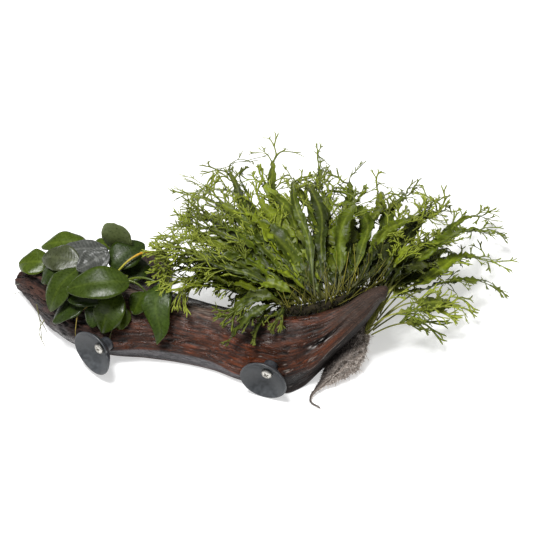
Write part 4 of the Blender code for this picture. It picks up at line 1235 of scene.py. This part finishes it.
def branchlet_part(found, dark, light, most_levels, tuft_start, tuft_way):
    """All branchlets at once: each is a flat stem with a four-cornered section along a bent line.
    The last ones swell towards their blunt ends."""
    start, way, bend, side = (np.array([branch[i] for branch in found]) for i in range(4))
    length, width, levels = (np.array([branch[i] for branch in found]) for i in (4, 5, 6))
    share = np.linspace(0, 1.05, BRANCHLET_ROWS)[None, :, None]
    path = bent_lines(start, way, bend, length, share)
    out = np.maximum((path - tuft_start) @ tuft_way, 0)
    path[..., 2] = np.clip(path[..., 2] - DROOP * out**2, LOWEST_TIP, HIGHEST + 1)
    ahead = unit(np.gradient(path, axis=1))
    level = unit(side[:, None] - ahead * np.sum(side[:, None] * ahead, axis=-1, keepdims=True))
    up = np.cross(ahead, level)
    last = (levels == 0)[:, None]
    shape = np.where(last, (0.95, 0.72, 0.85, 0.3), (1.1, 0.78, 0.82, 1.0))
    half = (width[:, None] / 2 * shape)[..., None]
    thin = np.minimum(half * 0.8, FROND_THICKNESS / 2)
    corners = np.stack([level * half, up * thin, -level * half, -up * thin], 2)
    points = (path[:, :, None] + corners).reshape(-1, 3)
    age = (most_levels - levels[:, None] + share[..., 0]) / (most_levels + 1)
    colour = mix(dark, light, np.clip(age, 0, 1))
    colour = np.repeat(colour[:, :, None], 4, axis=2).reshape(-1, 3)
    return points, tube_faces(BRANCHLET_ROWS, 4, len(found)), colour


def frond_part(number, lean, grows_at, heading, reach, crown, tip, swing, width=1.0, lace=1.0, shade=1.0):
    """A frond: its midrib is a parabola that arches from the rhizome to its tip. The blade is a
    thin stalk and then a lance shape, twisted along the midrib, with a raised rib, a crinkled
    face and margins that ruffle more towards the edge. Its end forks into branchlets, and more
    of them stand along the outer margins. width, lace and shade are shares of the usual blade
    width, length of the forked end, and lightness."""
    random = np.random.default_rng(FROND_SEED + number)
    ahead = np.array((math.cos(math.radians(heading)), math.sin(math.radians(heading)), 0))
    left = np.array((-ahead[1], ahead[0], 0))
    root = off_rhizome(FERN_RHIZOME_ROUTE, FERN_RHIZOME_RADIUS, grows_at, ahead * lean + (0, 0, 1))
    end = (root + ahead * reach) * (1, 1, 0) + (0, 0, tip)
    middle = ((root + end) / 2 + left * swing) * (1, 1, 0) + (0, 0, crown)
    tuft = min(0.34 * reach, 20 + 0.11 * reach) * lace
    forks_at = 1 - tuft / reach
    rows = int(np.clip(reach * 0.34 + 12, FEWEST_ROWS, MOST_ROWS))
    shares = np.linspace(0, forks_at, rows)
    spine = parabola(root, middle, end, shares)
    wiggle = step_up(shares, 0.1, 0.5)
    phase = random.uniform(0, 2 * math.pi, 5)
    sway = min(MOST_SWAY, reach / 26) * wiggle
    spine = spine + left * (sway * np.sin(shares * reach / 17 + phase[0]))[:, None]
    spine = spine + (0, 0, 1) * (0.8 * sway * np.sin(shares * reach / 14 + phase[1]))[:, None]
    spine[:, 2] = np.clip(spine[:, 2], LOWEST_MIDRIB, HIGHEST - 4)
    forwards = unit(np.gradient(spine, axis=0))
    level = unit(np.cross(forwards, (0, 0, 1)))
    roll = math.radians(30) * math.sin(2.1 * number) * shares
    roll = roll + 0.8 * wiggle * (1 - 0.55 * shares) * np.sin(shares * 6 + phase[2])
    level = turn_about(level, forwards, roll)
    up = np.cross(level, forwards)
    short, long = min(STALK_LENGTH / reach, 0.15), min(SIDE_STALK_LENGTH / reach, 0.45)
    stalk = np.interp(grows_at, (0.72, 0.86), (short, long))
    blade = np.clip((shares - stalk) / (forks_at - stalk), 0, 1)
    size = random.uniform(0.72, 1.12) * min(1.0, reach / 130 + 0.35) * BROAD_FRONDS.get(number, width)
    ends_at = 0.98 if lace == 0 else 0.88
    lance = np.sin(math.pi * (0.10 + (ends_at - 0.10) * blade)) ** 0.8 * step_up(blade, -0.1, 0.2)
    half = FROND_WIDTH / 2 * size * lance * (1 + 0.16 * np.sin(19 * blade + phase[3]))
    half = np.maximum(half, 0.5 + 0.2 * (1 - shares))[:, None]
    across = np.linspace(-1, 1, LONG_COLUMNS if reach > LONG_REACH else YOUNG_COLUMNS)
    away = np.abs(across)[None]
    grown = step_up(blade, 0.05, 0.3)[:, None]
    travel = (shares * reach / RIPPLE)[:, None]
    rolling = 2 * math.pi * (travel + 0.4 * np.sin(3 * travel))
    ruffle = np.sin(rolling + 2.4 * np.sign(across)[None] + phase[4])
    place = spots(travel * 2.2, across[None] * half / 2.6, number * 3.7)
    lift = -0.30 * half * (1 - away) + grown * ruffle * away**2 * np.minimum(half, 4.5) * 0.42
    lift = lift + grown * 1.5 * noise(place * 1.3, 95) * (0.5 + away)
    margin = 1 + grown * 0.30 * away * noise(place * (1.6, 0, 1) + 9 * np.sign(across)[None, :, None], 96)
    away_by = (across * half * margin)[..., None]
    grid = spine[:, None] + level[:, None] * away_by + up[:, None] * lift[..., None]
    rib = hump(across, 0, 0.16)[None]
    thickness = FROND_THICKNESS * (0.5 + 0.9 * rib)
    green = linear(FROND_GREENS[number % len(FROND_GREENS)]) * random.uniform(0.8, 1.15) * shade
    tip_green = mix(linear(TIP_GREEN) * shade, green * 1.5, random.uniform(0, 0.7))
    mottle = step_up(noise(place * (0.35, 1, 1), 91), -0.8, 0.8)
    colour = mix(green * 0.6, green * 1.25, mottle)
    colour = mix(colour, tip_green, 0.4 * rib + 0.4 * step_up(shares, forks_at * 0.75, forks_at)[:, None])
    olive = mix(STALK_OLIVE, SIDE_STALK_GREEN, step_up(grows_at, 0.72, 0.86))
    olive = olive * random.uniform(0.6, 1.1) * min(shade, 1.0)
    colour = mix(colour, olive, (1 - step_up(shares, stalk * 0.6, stalk * 1.5))[:, None])
    found = []
    levels = 2 if reach < 75 else 4 if lace > 1.25 else 3
    fan = random.uniform(0.7, 1.1) * max(lace, 0.8)
    twig = tuft * (0.36, 0.28, 0.21)[levels - 2]
    neck = half[-1, 0]
    turns = (-17, 1, 16) if random.random() < 0.5 else (-14, 13)
    for turn in (turns if lace > 0 else ()):
        way = turn_about(forwards[-1], up[-1], math.radians(turn * random.uniform(0.7, 1.6)))
        begin = spine[-1] - level[-1] * neck * turn / 30
        branch_out(begin, way, level[-1], up[-1], twig * random.uniform(0.8, 1.15),
                   BRANCHLET_WIDTH, levels, fan, random, found)
    for row in random.integers(int(rows * 0.55), rows - 2, int((4 + reach / 30) * min(lace, 1)) + 1):
        hand = random.choice([-1, 1])
        way = turn_about(forwards[row], up[row], math.radians(-hand * random.uniform(22, 46)))
        begin = spine[row] + level[row] * half[row, 0] * 0.8 * hand
        branch_out(begin, way, level[row], up[row], 7 * random.uniform(0.7, 1.3) * max(lace, 0.4),
                   BRANCHLET_WIDTH * 0.75, random.integers(1, 3), fan, random, found)
    # The underside is painted 15% darker than the top: painted shade.
    blade_part = sheet_part(grid, thickness, colour, colour * 0.85)
    tips = branchlet_part(found, mix(green, tip_green, 0.35), tip_green, levels, spine[-1], forwards[-1])
    return join([blade_part, tips])


FERN_SKIN = plant_material("wet_fern_leaf", 0.46, 2.0, 1.0)
layers = [(SIDE_LEAN, *frond) for frond in LOWER_FRONDS] + [(TOP_LEAN, *frond) for frond in UPPER_FRONDS]
for number, frond in enumerate(layers, 1):
    blade = frond_part(number, *frond, shade=SIDE_SHADE if frond[1] > SIDE_STARTS else 1.0)
    add_piece(f"fern_blade_{number:02d}", blade, FERN_SKIN, "fern_leaf", f"fern_frond_{number:02d}")

for name, fronds, first_number, lean in (
    ("front", FRONT_FRONDS, 100, TOP_LEAN),
    ("back", PLACED_FRONDS[:BACK_COUNT], 120, MIDDLE_LEAN),
    ("left", PLACED_FRONDS[BACK_COUNT:], 140, MIDDLE_LEAN),
    ("inner", filling_fronds(), 200, MIDDLE_LEAN),
    ("young", short_fronds(), 300, MIDDLE_LEAN),
):
    many = join([frond_part(first_number + number, lean, *frond) for number, frond in enumerate(fronds)])
    add_piece(f"fern_{name}_blades", many, FERN_SKIN, "fern_leaf")


# The floor and the light
# A white sheet under a large soft light that hangs above, a little in front and to the left of the
# log. A second, weak light stands in front, and the paper glows a little, as in an even studio.
FLOOR_HALF, FLOOR_HEIGHT = 4.0, -0.0003
LIGHTS = {
    "softbox_above": ((-0.22, -0.30, 1.3), 0.42, 26.0),
    "softbox_front": ((-0.60, -1.2, 1.0), 0.8, 2.0),
}
LIGHT_TARGET = Vector((0, 0, 0.03))
WORLD_STRENGTH = 0.28

floor_mesh = bpy.data.meshes.new("floor")
corners = [(FLOOR_HALF * x, FLOOR_HALF * y, FLOOR_HEIGHT) for x, y in ((-1, -1), (1, -1), (1, 1), (-1, 1))]
floor_mesh.from_pydata(corners, [], [(0, 1, 2, 3)])
floor = new_object("floor", floor_mesh)
paper, paper_tree, paper_shader = new_material("white_paper")
set_inputs(paper_tree, paper_shader, {
    "Base Color": (*linear("#d6d6d6"), 1), "Roughness": 0.9, "Specular IOR Level": 0.1,
    "Emission Color": (1, 1, 1, 1), "Emission Strength": 0.5,
})
floor_mesh.materials.append(paper)

for name, (place, size, power) in LIGHTS.items():
    light = new_object(name, bpy.data.lights.new(name, "AREA"))
    light.data.size = size
    light.data.energy = power
    light.location = place
    aim(light, LIGHT_TARGET - light.location)
world = bpy.data.worlds.new("studio")
world.use_nodes = True
background = world.node_tree.nodes["Background"]
set_inputs(world.node_tree, background, {"Color": (1, 1, 1, 1), "Strength": WORLD_STRENGTH})
bpy.context.scene.world = world
bpy.context.scene.view_settings.view_transform = "Standard"
